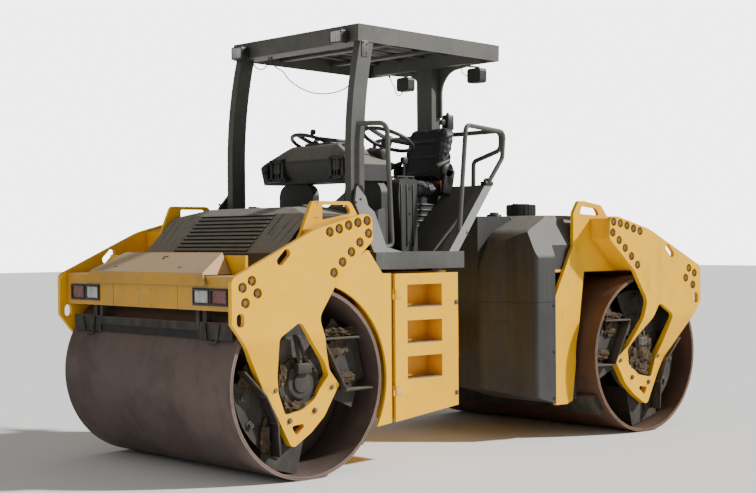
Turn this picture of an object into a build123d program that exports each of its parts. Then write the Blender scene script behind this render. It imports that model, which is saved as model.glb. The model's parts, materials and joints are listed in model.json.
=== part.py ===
from build123d import *
import math
import os

# Tandem road roller with two smooth drums, an articulated frame and an open canopy.
# Millimetres. +X runs towards the engine end, +Y to the machine's left, +Z up. The origin is on
# the ground, midway between the two drums.

os.makedirs("parts", exist_ok=True)

# ---- driving dimensions ----------------------------------------------------------------------
DRUM_RADIUS = 610
DRUM_WIDTH = 2000
DRUM_WALL = 22
WHEELBASE = 3380
RIM_GAP = 20             # rim of the drum to the inside of an arm
ARM_PLATE = 35           # thickness of an arm's flat upper part
SIDE_PLATE = 30          # thickness of the frame's side plates
SIDE_PLATE_Y = 840       # outer face of the side plates
DECK_GAP = 42            # drum to the deck above it
ARCH_GAP = 40            # drum to the arches cut in the frame
PLATFORM_HALF = 965
CHASSIS_TOP = 1300
PLATFORM_TOP = 1435
ROOF_HALF = 720
POST_Y = (650, 715)      # inner and outer face of a front post, inside the roof's skirt
ROOF_TOP = 2986
PIVOT_Z = 780            # height of the trunnion between the two frames
FIT = 0.05               # radial clearance of a running fit
LEAF = 6                 # sheet steel of covers and doors
DECK_PLATE = 20          # thickness of floors, decks and rails
BEAM_WALL = 10
TRAY_WALL = 12
CORD_TANGENT = 0.45      # share of a cable's shorter run that each arc takes
GLAND_RADIUS = 8
GLAND_LENGTH = 16

AXLE_X = WHEELBASE / 2
AXLE_Z = DRUM_RADIUS
DRUM_END = DRUM_WIDTH / 2
ARM_IN = DRUM_END + RIM_GAP
ARM_OUT = ARM_IN + ARM_PLATE
DECK_Z = 2 * DRUM_RADIUS + DECK_GAP
DECK_TOP = DECK_Z + DECK_PLATE
ARCH_RADIUS = DRUM_RADIUS + ARCH_GAP
PLATE_IN = SIDE_PLATE_Y - SIDE_PLATE


# ---- small helpers ---------------------------------------------------------------------------
def box(x, y, z):
    """A box from three (low, high) pairs."""
    size = (x[1] - x[0], y[1] - y[0], z[1] - z[0])
    return Pos(x[0], y[0], z[0]) * Box(*size, align=(Align.MIN, Align.MIN, Align.MIN))


def outline(points):
    """A face in XY from rows of (across, up) or (across, up, corner radius)."""
    face = make_face(Polyline(*[(row[0], row[1]) for row in points], close=True))
    for row in points:
        if len(row) > 2:
            corner = face.vertices().sort_by_distance((row[0], row[1], 0))[0]
            face = fillet([corner], row[2])
    return face


def wider(span):
    """The span of a cut that goes right through."""
    return (span[0] - 1, span[1] + 1)


def prism(face, depth):
    return extrude(face, amount=depth, dir=(0, 0, 1))


def along_y(points, y):
    """An XZ outline carried from y[0] to y[1]."""
    return Plane.XZ.offset(-y[1]).location * prism(outline(points), y[1] - y[0])


def along_x(points, x):
    """A YZ outline carried from x[0] to x[1]."""
    return Plane.YZ.offset(x[0]).location * prism(outline(points), x[1] - x[0])


def along_z(points, z):
    """An XY outline carried from z[0] to z[1]."""
    return Pos(0, 0, z[0]) * prism(outline(points), z[1] - z[0])


def rod_x(y, z, radius, x):
    return Pos((x[0] + x[1]) / 2, y, z) * Rot(0, 90, 0) * Cylinder(radius, x[1] - x[0])


def rod_y(x, z, radius, y):
    return Pos(x, (y[0] + y[1]) / 2, z) * Rot(90, 0, 0) * Cylinder(radius, y[1] - y[0])


def rod_z(x, y, radius, z):
    return Pos(x, y, (z[0] + z[1]) / 2) * Cylinder(radius, z[1] - z[0])


def pipe(points, radius, bends):
    """A round tube along straight runs joined by arcs, one bend radius for each corner."""
    path = FilletPolyline(*points, radius=list(bends))
    return sweep(Plane(path @ 0, z_dir=path % 0) * Circle(radius), path=path)


def cord(points, radius):
    """A hanging cable of straight runs and tangent arcs, with its bend radii printed."""
    runs = [Vector(*end) - Vector(*start) for start, end in zip(points, points[1:])]
    bends = []
    for before, after in zip(runs, runs[1:]):
        half_turn = before.get_angle(after) / 2
        bends.append(CORD_TANGENT * min(before.length, after.length) / math.tan(math.radians(half_turn)))
    print("cable bend radii", [round(bend, 1) for bend in bends])
    return pipe(points, radius, bends)


def gland(end, toward):
    """Sleeve that stands behind a cable's end and meets it squarely."""
    away = Vector(*end) - Vector(*toward)
    return extrude(Plane(origin=end, z_dir=away) * Circle(GLAND_RADIUS), amount=GLAND_LENGTH)


def right(shape):
    """The same piece on the machine's other side."""
    return mirror(shape, about=Plane.XZ)


def rear(shape):
    """The same piece at the machine's other end."""
    return mirror(shape, about=Plane.YZ)


def both(shape):
    return shape + right(shape)


def pair(shape):
    """A piece and its mirror image as separate solids of one node."""
    return group(shape, right(shape))


def group(*shapes):
    """Separate solids kept in one node."""
    solids = [solid for shape in shapes for solid in shape.solids()]
    return Compound(children=solids)


# ---- drums -----------------------------------------------------------------------------------
HEAD_Y = (560, 585)          # head disc inside each end of a drum
BOSS_RADIUS = 130
SHAFT_RADIUS = 60
BRACKET_ANGLES = (165, 285, 45)
BRACKET_REACH = (240, 560)   # inner and outer radius of the three box brackets
BRACKET_HALF = 155
BRACKET_Y = (585, 860)
BRACKET_LEAF = 16


def drum_shell():
    shell = rod_y(AXLE_X, AXLE_Z, DRUM_RADIUS, (-DRUM_END, DRUM_END))
    shell -= rod_y(AXLE_X, AXLE_Z, DRUM_RADIUS - DRUM_WALL, (-DRUM_END, DRUM_END))
    disc = rod_y(AXLE_X, AXLE_Z, DRUM_RADIUS - DRUM_WALL / 2, HEAD_Y)
    boss = rod_y(AXLE_X, AXLE_Z, BOSS_RADIUS, (HEAD_Y[0] - 40, HEAD_Y[1] + 30))
    bore = rod_y(AXLE_X, AXLE_Z, SHAFT_RADIUS + FIT, (HEAD_Y[0] - 60, HEAD_Y[1] + 60))
    head = disc + boss - bore
    return shell + head + right(head)


def drum_bracket(angle):
    """A flanged box bracket with its rubber block, standing out from the drum's head."""
    web = box(BRACKET_REACH, (BRACKET_Y[1] - BRACKET_LEAF, BRACKET_Y[1]), (-BRACKET_HALF, BRACKET_HALF))
    low = box(BRACKET_REACH, BRACKET_Y, (-BRACKET_HALF, BRACKET_LEAF - BRACKET_HALF))
    high = box(BRACKET_REACH, BRACKET_Y, (BRACKET_HALF - BRACKET_LEAF, BRACKET_HALF))
    return Pos(AXLE_X, 0, AXLE_Z) * Rot(0, -angle, 0) * (web + low + high)


def drum_brackets():
    left = [drum_bracket(angle) for angle in BRACKET_ANGLES]
    return group(*left, *[right(bracket) for bracket in left])


def rubber_blocks():
    inner = BRACKET_HALF - BRACKET_LEAF
    block = box((300, 500), (HEAD_Y[1], BRACKET_Y[1] - BRACKET_LEAF), (40 - inner, inner - 40))
    left = [Pos(AXLE_X, 0, AXLE_Z) * Rot(0, -angle, 0) * block for angle in BRACKET_ANGLES]
    return group(*left, *[right(piece) for piece in left])


# ---- arms that carry the drums ---------------------------------------------------------------
# forward of the axle, above the axle, corner radius
ARM_OUTLINE = (
    (-488, 1075, 48), (-400, 1073, 120), (-18, 976, 600), (632, 678, 48), (632, 398, 40),
    (505, 240, 150), (370, 50, 300), (225, -160, 300), (92, -402, 38), (60, -398, 20), (-70, -320, 120),
    (-178, -225, 150), (-300, -32, 14), (-185, 75, 150), (-120, 215, 300), (-45, 420, 90),
    (-142, 560, 60), (-204, 655, 55), (-502, 905, 58),
)
ARM_OPENING = (
    (275, 300, 40), (105, 402, 40), (15, 275, 200), (-130, 130, 300), (-190, 42, 24),
    (-105, -105, 150), (0, -170, 120), (140, -196, 30), (190, -60, 200), (230, 60, 200),
)
ARM_KEYHOLE = ((95, -268, 14), (-42, -255, 14), (55, -330, 14))
# inward bend of the arm below its flat part: outer and inner face, from the top down
BEND_TOP = 290               # height of the bend above the axle
BEND_LOW = -30
RING_IN = 880                # inner face of the ring that holds the axle
RING_OUT = 935
ARM_TOP_BOLTS = ((-450, 1032), (-371, 1020), (-293, 1003), (-214, 980), (-136, 960))
ARM_LOW_BOLTS = ((-462, 950), (-387, 892), (-315, 831), (-240, 767), (-168, 700))
ARM_END_BOLTS = ((480, 663), (551, 623), (438, 586), (530, 529))
BORE_RADIUS = 33
BORE_DEPTH = 24


def slot(points, radius, y):
    """A slanted slot through y between two end points given from the axle."""
    ends = [rod_y(AXLE_X + x, AXLE_Z + z, radius, y) for x, z in points]
    (x0, z0), (x1, z1) = points
    length = ((x1 - x0) ** 2 + (z1 - z0) ** 2) ** 0.5
    nx, nz = -(z1 - z0) / length * radius, (x1 - x0) / length * radius
    corners = ((x0 + nx, z0 + nz), (x1 + nx, z1 + nz), (x1 - nx, z1 - nz), (x0 - nx, z0 - nz))
    return ends[0] + ends[1] + along_y([(AXLE_X + x, AXLE_Z + z) for x, z in corners], y)


def from_axle(rows):
    return [(AXLE_X + row[0], AXLE_Z + row[1], *row[2:]) for row in rows]


def arm():
    span = (RING_IN - 10, ARM_OUT + 10)
    bent = along_x(
        (
            (ARM_OUT, AXLE_Z + 1200), (ARM_OUT, AXLE_Z + BEND_TOP, 150),
            (RING_OUT, AXLE_Z + BEND_LOW - 20, 100), (RING_OUT, 100),
            (RING_IN, 100), (RING_IN, AXLE_Z + BEND_LOW, 100),
            (ARM_IN, AXLE_Z + BEND_TOP, 150), (ARM_IN, AXLE_Z + 1200),
        ),
        (AXLE_X - 600, AXLE_X + 700),
    )
    body = along_y(from_axle(ARM_OUTLINE), span) & bent
    body -= along_y(from_axle(ARM_OPENING), span)
    body -= along_y(from_axle(ARM_KEYHOLE), span)
    body -= slot(((262, 779), (210, 829)), 27, span)
    body -= slot(((568, 410), (568, 438)), 29, span)
    for x, z in ARM_TOP_BOLTS + ARM_LOW_BOLTS + ARM_END_BOLTS:
        body -= rod_y(AXLE_X + x, AXLE_Z + z, BORE_RADIUS, (ARM_OUT - BORE_DEPTH, ARM_OUT + 20))
    return body


ARM_MOUNT = ((-470, 1058), (-395, 1055), (-90, 978), (-90, 700), (-160, 655), (-200, 678), (-470, 908))


def arm_mount():
    return along_y(from_axle(ARM_MOUNT), (SIDE_PLATE_Y, ARM_IN))


# ---- axles fixed to the arms -----------------------------------------------------------------
def axle():
    """Drive motor with its flange on the arm's ring and its shaft in the drum's head."""
    flange = rod_y(AXLE_X, AXLE_Z, 300, (RING_IN - 20, RING_IN))
    motor = rod_y(AXLE_X, AXLE_Z, 175, (660, RING_IN - 20))
    shaft = rod_y(AXLE_X, AXLE_Z, SHAFT_RADIUS, (HEAD_Y[0] - 30, 660))
    return flange + motor + shaft


# ---- front frame -----------------------------------------------------------------------------
FLOOR_Z = 430
REAR_WALL_X = 330
BULKHEAD = 25            # thickness of the front frame's rear wall
WINDOW_Y = (90, 310)     # opening in it for a steering cylinder
WINDOW_Z = (690, 870)
FIREWALL_X = 1000
RAIL_X = (2020, 2040)
BEAM_X = (2080, 2270)
BEAM_Z = (1085, 1300)
EAR_Z = ((530, 580), (980, 1030))
EAR_HALF = 110
PIN_RADIUS = 40
CYLINDER_PIN_X = 620
CYLINDER_Y = 200
CYLINDER_PIN = 20
PEDESTAL_SIZE = 120
PEDESTAL_TOP = 700
RAIL_TOP = 1425
LID_REAR_X = 2054
LID_HINGE = (2048, 1436)
LID_EAR_Y = (300, 312)
LID_PIN = 5


def ears():
    """Two flat ears that hold the steering pin."""
    eye = None
    for low, high in EAR_Z:
        plate = rod_z(0, 0, EAR_HALF, (low, high))
        plate += box((0, REAR_WALL_X), (-EAR_HALF, EAR_HALF), (low, high))
        plate -= rod_z(0, 0, PIN_RADIUS + FIT, (low - 5, high + 5))
        eye = plate if eye is None else eye + plate
    return eye


def front_bulkhead():
    """Rear wall of the front frame with its two cylinder windows and the ears of the joint."""
    wall = box((REAR_WALL_X, REAR_WALL_X + BULKHEAD), (-PLATE_IN, PLATE_IN), (FLOOR_Z, CHASSIS_TOP))
    window = box((REAR_WALL_X - 1, REAR_WALL_X + BULKHEAD + 1), WINDOW_Y, WINDOW_Z)
    return wall - window - right(window) + ears()


def lid_hinge():
    """Bracket on the front rail with the pin of one lid ear."""
    x, z = LID_HINGE
    bracket = box((RAIL_X[0], x), (LID_EAR_Y[1] + 2, LID_EAR_Y[1] + 12), (RAIL_TOP, z))
    return bracket + rod_y(x, z, LID_PIN, (LID_EAR_Y[0], LID_EAR_Y[1] + 12))


def front_chassis():
    inner = (-PLATE_IN, PLATE_IN)
    frame = box((REAR_WALL_X + BULKHEAD, FIREWALL_X), inner, (FLOOR_Z, FLOOR_Z + DECK_PLATE))
    frame += box((FIREWALL_X - DECK_PLATE, FIREWALL_X), inner, (FLOOR_Z, DECK_Z))
    frame += box((FIREWALL_X - DECK_PLATE, BEAM_X[0]), inner, (DECK_Z, DECK_TOP))
    frame += box(RAIL_X, inner, (DECK_Z, RAIL_TOP))
    frame += both(lid_hinge())
    for y in (CYLINDER_Y, -CYLINDER_Y):
        pedestal = Box(PEDESTAL_SIZE, PEDESTAL_SIZE, PEDESTAL_TOP - FLOOR_Z)
        frame += Pos(CYLINDER_PIN_X, y, (PEDESTAL_TOP + FLOOR_Z) / 2) * pedestal
        frame += rod_z(CYLINDER_PIN_X, y, CYLINDER_PIN, (PEDESTAL_TOP, PIVOT_Z + 50))
    return frame


# forward, up: loop on the side plate's upper edge and the opening in it
FRONT_LOOP = ((1614, 1568, 30), (1524, 1773, 30), (1199, 1773, 45), (1140, 1684, 20))
FRONT_LOOP_HOLE = ((1441, 1750, 12), (1226, 1750, 25), (1190, 1694, 20), (1441, 1648, 12))
LOOP_BOLTS = ((1478, 1762), (1500, 1762), (1478, 1665), (1500, 1665))


def arch(radius, y):
    return rod_y(AXLE_X, AXLE_Z, radius, y)


def front_side_plate():
    y = (PLATE_IN, SIDE_PLATE_Y)
    plate = along_y(
        (
            (REAR_WALL_X, FLOOR_Z), (1140, FLOOR_Z), (1140, DECK_Z), (BEAM_X[0], DECK_Z),
            (BEAM_X[0], 1330), (1765, 1330), *FRONT_LOOP, (1115, 1600), (1115, CHASSIS_TOP),
            (REAR_WALL_X, CHASSIS_TOP),
        ),
        y,
    )
    plate -= along_y(FRONT_LOOP_HOLE, wider(y))
    plate -= arch(ARCH_RADIUS, wider(y))
    for x, z in LOOP_BOLTS:
        plate -= rod_y(x, z, 5, wider(y))
    return plate + arm_mount()


LAMP_Y = ((575, 745), (765, 940))
LAMP_Z = (1115, 1225)
LAMP_DEPTH = 70
BEAM_SEAM_Y = (-390, 390)
SEAM_DEPTH = 3
BEAM_HOLES = ((-78, 1104), (78, 1104), (-78, 1206), (78, 1206))
BEAM_HOLE_RADIUS = 5


def beam():
    """Hollow cross beam between the arms, with a pocket for each pair of lamps."""
    spans = (BEAM_X, (-ARM_IN, ARM_IN), BEAM_Z)
    shell = box(*spans) - box(*[(low + BEAM_WALL, high - BEAM_WALL) for low, high in spans])
    for y in BEAM_SEAM_Y:
        shell -= box((BEAM_X[1] - SEAM_DEPTH, BEAM_X[1] + 1), (y - 4, y + 4), wider(BEAM_Z))
    for y, z in BEAM_HOLES:
        shell -= rod_x(y, z, BEAM_HOLE_RADIUS, (BEAM_X[1] - BEAM_WALL - 1, BEAM_X[1] + 1))
    pocket = box((BEAM_X[1] - 20, BEAM_X[1] + 1), (LAMP_Y[0][0] - 10, LAMP_Y[1][1] + 10), LAMP_Z)
    return shell - pocket - right(pocket)


def lamp_housing():
    shell = box(
        (BEAM_X[1] - LAMP_DEPTH, BEAM_X[1] + 6), (LAMP_Y[0][0] - 10, LAMP_Y[1][1] + 10), LAMP_Z
    )
    for low, high in LAMP_Y:
        shell -= box((BEAM_X[1] - 30, BEAM_X[1] + 7), (low, high), (LAMP_Z[0] + 8, LAMP_Z[1] - 8))
    return shell


def lamp_lens(y):
    return box((BEAM_X[1] - 30, BEAM_X[1] + 2), y, (LAMP_Z[0] + 8, LAMP_Z[1] - 8))


# ---- lid over the front beam -----------------------------------------------------------------
LID_HALF = 800
LID_TOP_Z = 1444
LID_FRONT = (2279, 1319)     # forward edge of the sloping top
LID_NOSE = (2300, 1241)      # lower edge in front of the beam
# forward, left, size down the slope and across it
LID_WINDOWS = ((2222, -437, (12, 45)), (2223, 345, (12, 45)), (2113, 0, (45, 64)))


def lid_solid(inset):
    shape = along_y(
        (
            (LID_REAR_X, LID_TOP_Z - inset), (LID_FRONT[0] - inset, LID_FRONT[1] - inset / 2),
            (LID_NOSE[0] - inset, LID_NOSE[1] - inset), (LID_NOSE[0] - inset, 1225), (LID_REAR_X, 1225),
        ),
        (-LID_HALF, LID_HALF),
    )
    for side in (1, -1):
        start = (LID_REAR_X, side * (582 - inset), LID_TOP_Z)
        flank = Plane(origin=start, z_dir=(-0.083, side * 0.838, 0.539))
        shape = split(shape, bisect_by=flank, keep=Keep.BOTTOM)
    return shape


def lid_window(x, y, size):
    """Opening in the lid's sloping top, sized down the slope and across it."""
    slope = math.atan2(LID_TOP_Z - LID_FRONT[1], LID_FRONT[0] - LID_REAR_X)
    z = LID_TOP_Z - (x - LID_REAR_X) * math.tan(slope)
    return Pos(x, y, z) * Rot(0, math.degrees(slope), 0) * Box(size[0], size[1], 5 * LEAF)


def front_lid():
    """Sheet cover in front of the hood, with two ears on its hinge pins."""
    x, z = LID_HINGE
    ear = rod_y(x, z, LID_PIN + 4, LID_EAR_Y) + box((x, LID_REAR_X + 3), LID_EAR_Y, (z - 2, z + 8))
    cover = lid_solid(0) - lid_solid(LEAF)
    for window_x, y, size in LID_WINDOWS:
        cover -= lid_window(window_x, y, size)
    cover += both(ear - rod_y(x, z, LID_PIN + FIT, (LID_EAR_Y[0] - 1, LID_EAR_Y[1] + 1)))
    cover -= box((LID_REAR_X - 60, BEAM_X[1] + 7), (-LID_HALF, LID_HALF), (1200, BEAM_Z[1] + LEAF))
    return cover - box((2200, 2400), (-LID_HALF, LID_HALF), (1200, LID_NOSE[1]))


# ---- engine hood -----------------------------------------------------------------------------
HOOD_HALF = 795
HOOD_WALL = 8
HOOD_TOP = 1755
HOOD_LOW = 1336
HOOD_HINGE = (1103, 1748)
HOOD_EAR_Y = (300, 314)
HINGE_PIN = 8
HOOD_X = (1115, 1768)
GRILLE_TOP = (1499, 1699)
GRILLE_LOW = (1758, 1438)
GRILLE_SLOTS = 10
LOUVRE = (24, 856, 5)        # lip over each slot: down the slope, across, thickness
LOUVRE_LIFT = 18             # degrees that a lip rises off the slope
GROOVE = (5, 3)              # width and depth of the moulded lines
# forward and left of both ends of each line on the slope
GROOVES = (
    ((1641, 504), (1497, 504)), ((1641, 518), (1497, 518)),
    ((1684, 625), (1531, 640)), ((1691, 704), (1532, 733)),
)


def hood_solid(inset):
    shape = along_y(
        (
            (HOOD_X[0], HOOD_TOP - inset), (1403 - inset / 3, 1742 - inset, 60),
            (GRILLE_TOP[0] - inset, GRILLE_TOP[1] - inset, 60),
            (GRILLE_LOW[0] - inset, GRILLE_LOW[1] - inset / 2, 15), (HOOD_X[1] - inset, HOOD_LOW),
            (HOOD_X[0], HOOD_LOW),
        ),
        (inset - HOOD_HALF, HOOD_HALF - inset),
    )
    for side in (1, -1):
        flank = Plane(origin=(HOOD_X[0], side * 430, 1752 - inset), z_dir=(0, side * 0.19, 0.98))
        shape = split(shape, bisect_by=flank, keep=Keep.BOTTOM)
    return shape


def grille_slots():
    """Place of each slot on the slope, its local X down the slope and Z outwards."""
    for index in range(GRILLE_SLOTS):
        step = (index + 0.5) / GRILLE_SLOTS
        x = GRILLE_TOP[0] + (GRILLE_LOW[0] - GRILLE_TOP[0]) * step
        z = GRILLE_TOP[1] + (GRILLE_LOW[1] - GRILLE_TOP[1]) * step
        yield Pos(x, 0, z) * Rot(0, 45, 0)


def groove(start, end):
    """A moulded line in the slope between two (forward, left) points."""
    fall = (GRILLE_LOW[1] - GRILLE_TOP[1]) / (GRILLE_LOW[0] - GRILLE_TOP[0])
    ends = [Vector(x, y, GRILLE_TOP[1] + fall * (x - GRILLE_TOP[0])) for x, y in (start, end)]
    run = ends[1] - ends[0]
    place = Plane(origin=(ends[0] + ends[1]) / 2, x_dir=run, z_dir=(-fall, 0, 1))
    return place.location * Box(run.length, GROOVE[0], 2 * GROOVE[1])


def engine_hood():
    """Moulded cover with its louvres, and two ears that turn on the hinge pins."""
    shell = hood_solid(0) - hood_solid(HOOD_WALL)
    for place in grille_slots():
        shell -= place * Box(16, 860, 60)
    for place in grille_slots():
        shell += place * Pos(-6, 0, 5) * Rot(0, -LOUVRE_LIFT, 0) * Box(*LOUVRE)
    for start, end in GROOVES:
        shell -= groove(start, end)
    for start, end in GROOVES[2:]:
        shell -= groove((start[0], -start[1]), (end[0], -end[1]))
    x, z = HOOD_HINGE
    ear = rod_y(x, z, HINGE_PIN + 5, HOOD_EAR_Y) + box((x, HOOD_X[0] + 4), HOOD_EAR_Y, (z - 6, z + 6))
    return shell + both(ear - rod_y(x, z, HINGE_PIN + FIT, (HOOD_EAR_Y[0] - 1, HOOD_EAR_Y[1] + 1)))


def hood_hinge():
    """Bracket on the platform's front wall with the pin of one hood ear."""
    x, z = HOOD_HINGE
    bracket = box((PLATFORM_X[1], x), (HOOD_EAR_Y[1] + 2, HOOD_EAR_Y[1] + 14), (z - 18, z))
    return bracket + rod_y(x, z, HINGE_PIN, (HOOD_EAR_Y[0], HOOD_EAR_Y[1] + 14))


# ---- skirts, step boxes and step doors beside the front frame --------------------------------
SKIRT_OUT = ARM_IN
SKIRT_IN = SKIRT_OUT - 20
DOOR_X = (398, 978)
DOOR_Y = (1005, 1030)
DOOR_TOP = 1291
DOOR_HINGE = (985, 1018)
DOOR_KNUCKLES = (480, 1120)  # undersides of the two hinges
DOOR_PIN = 3
STEP_X = (550, 870)
STEP_Z = ((1067, 1217), (826, 977), (588, 737))
STEP_DEPTH = 130


def skirt():
    y = (SKIRT_IN, SKIRT_OUT)
    plate = along_y(
        (
            (1006, 305), (1130, 290), (1500, 1240), (1430, 1330), (1205, 1455, 20), (1080, 1295),
            (1006, 1295),
        ),
        y,
    )
    return plate - arch(ARCH_RADIUS - 10, wider(y))


def step_box():
    """Open-fronted compartment that the door closes."""
    low, high = (DOOR_X[0] - 4, DOOR_X[1] + 8)
    outer = along_y(((low, 392), (high, 320), (high, 1286), (low, 1286)), (SIDE_PLATE_Y, 1000))
    inner = along_y(
        ((low + 6, 400), (high - 6, 328), (high - 6, 1280), (low + 6, 1280)), (SIDE_PLATE_Y + 6, 1001)
    )
    shell = outer - inner
    x, y = DOOR_HINGE
    for z in DOOR_KNUCKLES:
        shell += rod_z(x, y, DOOR_PIN, (z, z + 70)) + box((x - 5, x + 1), (999, y), (z + 42, z + 70))
    return shell


def step_door():
    leaf = along_y(
        ((DOOR_X[0], 379), (DOOR_X[1], 308), (DOOR_X[1], DOOR_TOP), (DOOR_X[0], DOOR_TOP)), DOOR_Y
    )
    for low, high in STEP_Z:
        across, up = (STEP_X[0] - LEAF, STEP_X[1] + LEAF), (low - LEAF, high + LEAF)
        leaf += box(across, (DOOR_Y[0] - STEP_DEPTH, DOOR_Y[0]), up)
        leaf -= box(STEP_X, (DOOR_Y[0] - STEP_DEPTH + LEAF, DOOR_Y[1] + 1), (low, high))
    x, y = DOOR_HINGE
    for z in DOOR_KNUCKLES:
        leaf += rod_z(x, y, DOOR_PIN + 5, (z, z + 40)) - rod_z(x, y, DOOR_PIN + FIT, (z - 1, z + 41))
    return leaf


# ---- operator platform -----------------------------------------------------------------------
PLATFORM_X = (270, 1085)
FRONT_WALL_TOP = 1745
SHELF_Z = 1911
WALL_FOOT_X = 325            # front face of the sloping rear wall at the platform floor
WALL_HEAD_X = -178


def platform():
    low, half = CHASSIS_TOP + 20, PLATFORM_HALF - TRAY_WALL
    tray = box(PLATFORM_X, (-PLATFORM_HALF, PLATFORM_HALF), (low, PLATFORM_TOP))
    hollow = (PLATFORM_X[0] + TRAY_WALL, PLATFORM_X[1] - TRAY_WALL)
    tray -= box(hollow, (-half, half), (low - 1, PLATFORM_TOP - DECK_PLATE))
    wall_half = POST_Y[0] - 5
    tray += box((hollow[1], PLATFORM_X[1]), (-wall_half, wall_half), (PLATFORM_TOP, FRONT_WALL_TOP))
    return tray + both(hood_hinge())


def platform_mount(x):
    return both(box((x, x + 100), (PLATE_IN - 120, SIDE_PLATE_Y), (CHASSIS_TOP, PLATFORM_TOP - DECK_PLATE)))


def rear_tub():
    """Sloping rear wall of the platform with the shelf that carries the rear post."""
    wall = along_y(
        (
            (WALL_FOOT_X - 25, PLATFORM_TOP), (WALL_HEAD_X - 22, SHELF_Z - 21),
            (WALL_HEAD_X - 22, SHELF_Z), (WALL_HEAD_X, SHELF_Z), (WALL_FOOT_X, PLATFORM_TOP),
        ),
        (-700, 700),
    )
    return wall + box((-385, WALL_HEAD_X - 22), (-500, 500), (SHELF_Z - 21, SHELF_Z))


def rear_stay():
    """Box-section stay that rises backwards and inwards at the platform's rear corner."""
    foot = Pos(370, PLATFORM_HALF - 45, PLATFORM_TOP) * Rectangle(90, 90)
    head = Pos(-165, 745, SHELF_Z) * Rectangle(80, 80)
    return loft([foot.face(), head.face()])


# forward, up: plate that flares from the platform's edge up to the front post
POST_FOOT = (
    (1104, 1435), (1120, 1765, 60), (1060, 1870, 25), (1030, 1897, 12), (1000, 1880, 12), (1006, 1795),
    (1012, 1745, 30), (975, 1708, 20), (975, 1588), (977, 1469), (859, 1438), (859, 1435),
)
FOOT_PANEL = ((975, 1455), (975, 1702), (866, 1737, 14), (858, 1500, 60), (930, 1455))
FOOT_PANEL_Y = (795, 805)
FOOT_LEAF = 20
FOOT_TOP = (725, 1897)       # outer face of the flare at its upper end


def post_foot():
    """Flared plate with a fold behind it that carries an upright panel."""
    flare = along_x(
        (
            (PLATFORM_HALF, PLATFORM_TOP), FOOT_TOP, (FOOT_TOP[0] - FOOT_LEAF, FOOT_TOP[1]),
            (PLATFORM_HALF - FOOT_LEAF, PLATFORM_TOP),
        ),
        (850, 1130),
    )
    inner = FOOT_PANEL_Y[0]
    fold = along_x(((inner, 1470), (932, 1470), (805, 1715), (inner, 1715)), (975, 983))
    foot = (along_y(POST_FOOT, (640, 980)) & flare) + fold + along_y(FOOT_PANEL, FOOT_PANEL_Y)
    return foot - front_post()


# ---- canopy ----------------------------------------------------------------------------------
ROOF_X = (-350, 1015)
ROOF_SKIRT = 118
ROOF_SHEET = 5
ROOF_SLOPE = 1.8
HEADER_Z = (2868, 2825)      # undersides of the front and rear roof members
POST_DEPTH = 118
# forward, up: front face of a front post, straight up to its second point and curved above
POST_FRONT = ((1087, PLATFORM_TOP), (1087, 2080), (1064, 2475), (995, HEADER_Z[0]))
REAR_POST_X = (-352, -262)
REAR_POST_HALF = 84
GUSSET_LEAF = 18
# left, up: gusset between the rear post and the roof
GUSSET = ((79, 2450), (112, 2450), (112, 2790, 180), (375, 2816), (375, HEADER_Z[1]), (79, HEADER_Z[1]))
# work lamps: outline left and up with corner radius, and the depth of a housing
FRONT_LAMP = ((508, 2858, 18), (638, 2858, 18), (638, 2952, 18), (508, 2952, 18))
FRONT_LAMP_X = (1040, 1098)
REAR_LAMP = ((330, 2700, 24), (470, 2700, 24), (470, 2810, 24), (330, 2810, 24))
REAR_LAMP_X = (-470, -400)
LAMP_RIM = 10
# hanging cables under the roof
ROOF_CABLE = (
    (905, -396, 2859), (905, -384, 2826), (904, -340, 2786), (905, -262, 2758), (906, -205, 2698),
    (905, -130, 2650), (904, -40, 2608), (905, 60, 2575), (905, 165, 2556), (906, 275, 2550),
    (905, 375, 2556), (904, 465, 2577), (925, 550, 2612), (948, 608, 2655), (955, 642, 2690),
)
SHORT_CABLE = (
    (905, -634, 2858), (905, -612, 2826), (905, -572, 2803), (905, -522, 2790), (905, -470, 2803),
    (905, -440, 2832), (905, -431, 2858),
)
LEAD_NEAR = ((-322, 352, 2812), (-345, 330, 2785), (-395, 300, 2768), (-432, 326, 2757))
LEAD_FAR = (
    (-362, -508, 2818), (-400, -535, 2790), (-425, -520, 2740), (-428, -512, 2700), (-426, -488, 2672),
    (-428, -452, 2672), (-430, -439, 2697),
)
CABLE_RADIUS = 4
LEAD_RADIUS = 3.5


def canopy_roof():
    low, half = ROOF_TOP - ROOF_SKIRT, ROOF_HALF - ROOF_SHEET
    roof = box(ROOF_X, (-ROOF_HALF, ROOF_HALF), (low, ROOF_TOP))
    hollow = (ROOF_X[0] + ROOF_SHEET, ROOF_X[1] - ROOF_SHEET)
    roof -= box(hollow, (-half, half), (low - 1, ROOF_TOP - ROOF_SHEET))
    roof = Pos(ROOF_X[1], 0, ROOF_TOP) * Rot(0, -ROOF_SLOPE, 0) * Pos(-ROOF_X[1], 0, -ROOF_TOP) * roof
    front_header = box((840, ROOF_X[1] - 8), (-half, half), (HEADER_Z[0], ROOF_TOP - 12))
    rear_header = box((ROOF_X[0] + 8, -240), (-560, 560), (HEADER_Z[1], ROOF_TOP - 46))
    roof += front_header + rear_header + both(lamp_brackets())
    for cable in (ROOF_CABLE, SHORT_CABLE, LEAD_NEAR, LEAD_FAR):
        roof += gland(cable[0], cable[1])
    return roof + gland(SHORT_CABLE[-1], SHORT_CABLE[-2])


def lamp_brackets():
    """Brackets of one side's front and rear work lamps."""
    front = box((1010, FRONT_LAMP_X[0]), (553, 593), (2890, 2920))
    plate = box((-450, -300), (380, 420), (HEADER_Z[1] - 8, HEADER_Z[1]))
    return front + plate + rod_z(-435, 400, 10, (REAR_LAMP[2][1], HEADER_Z[1] - 8))


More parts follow.
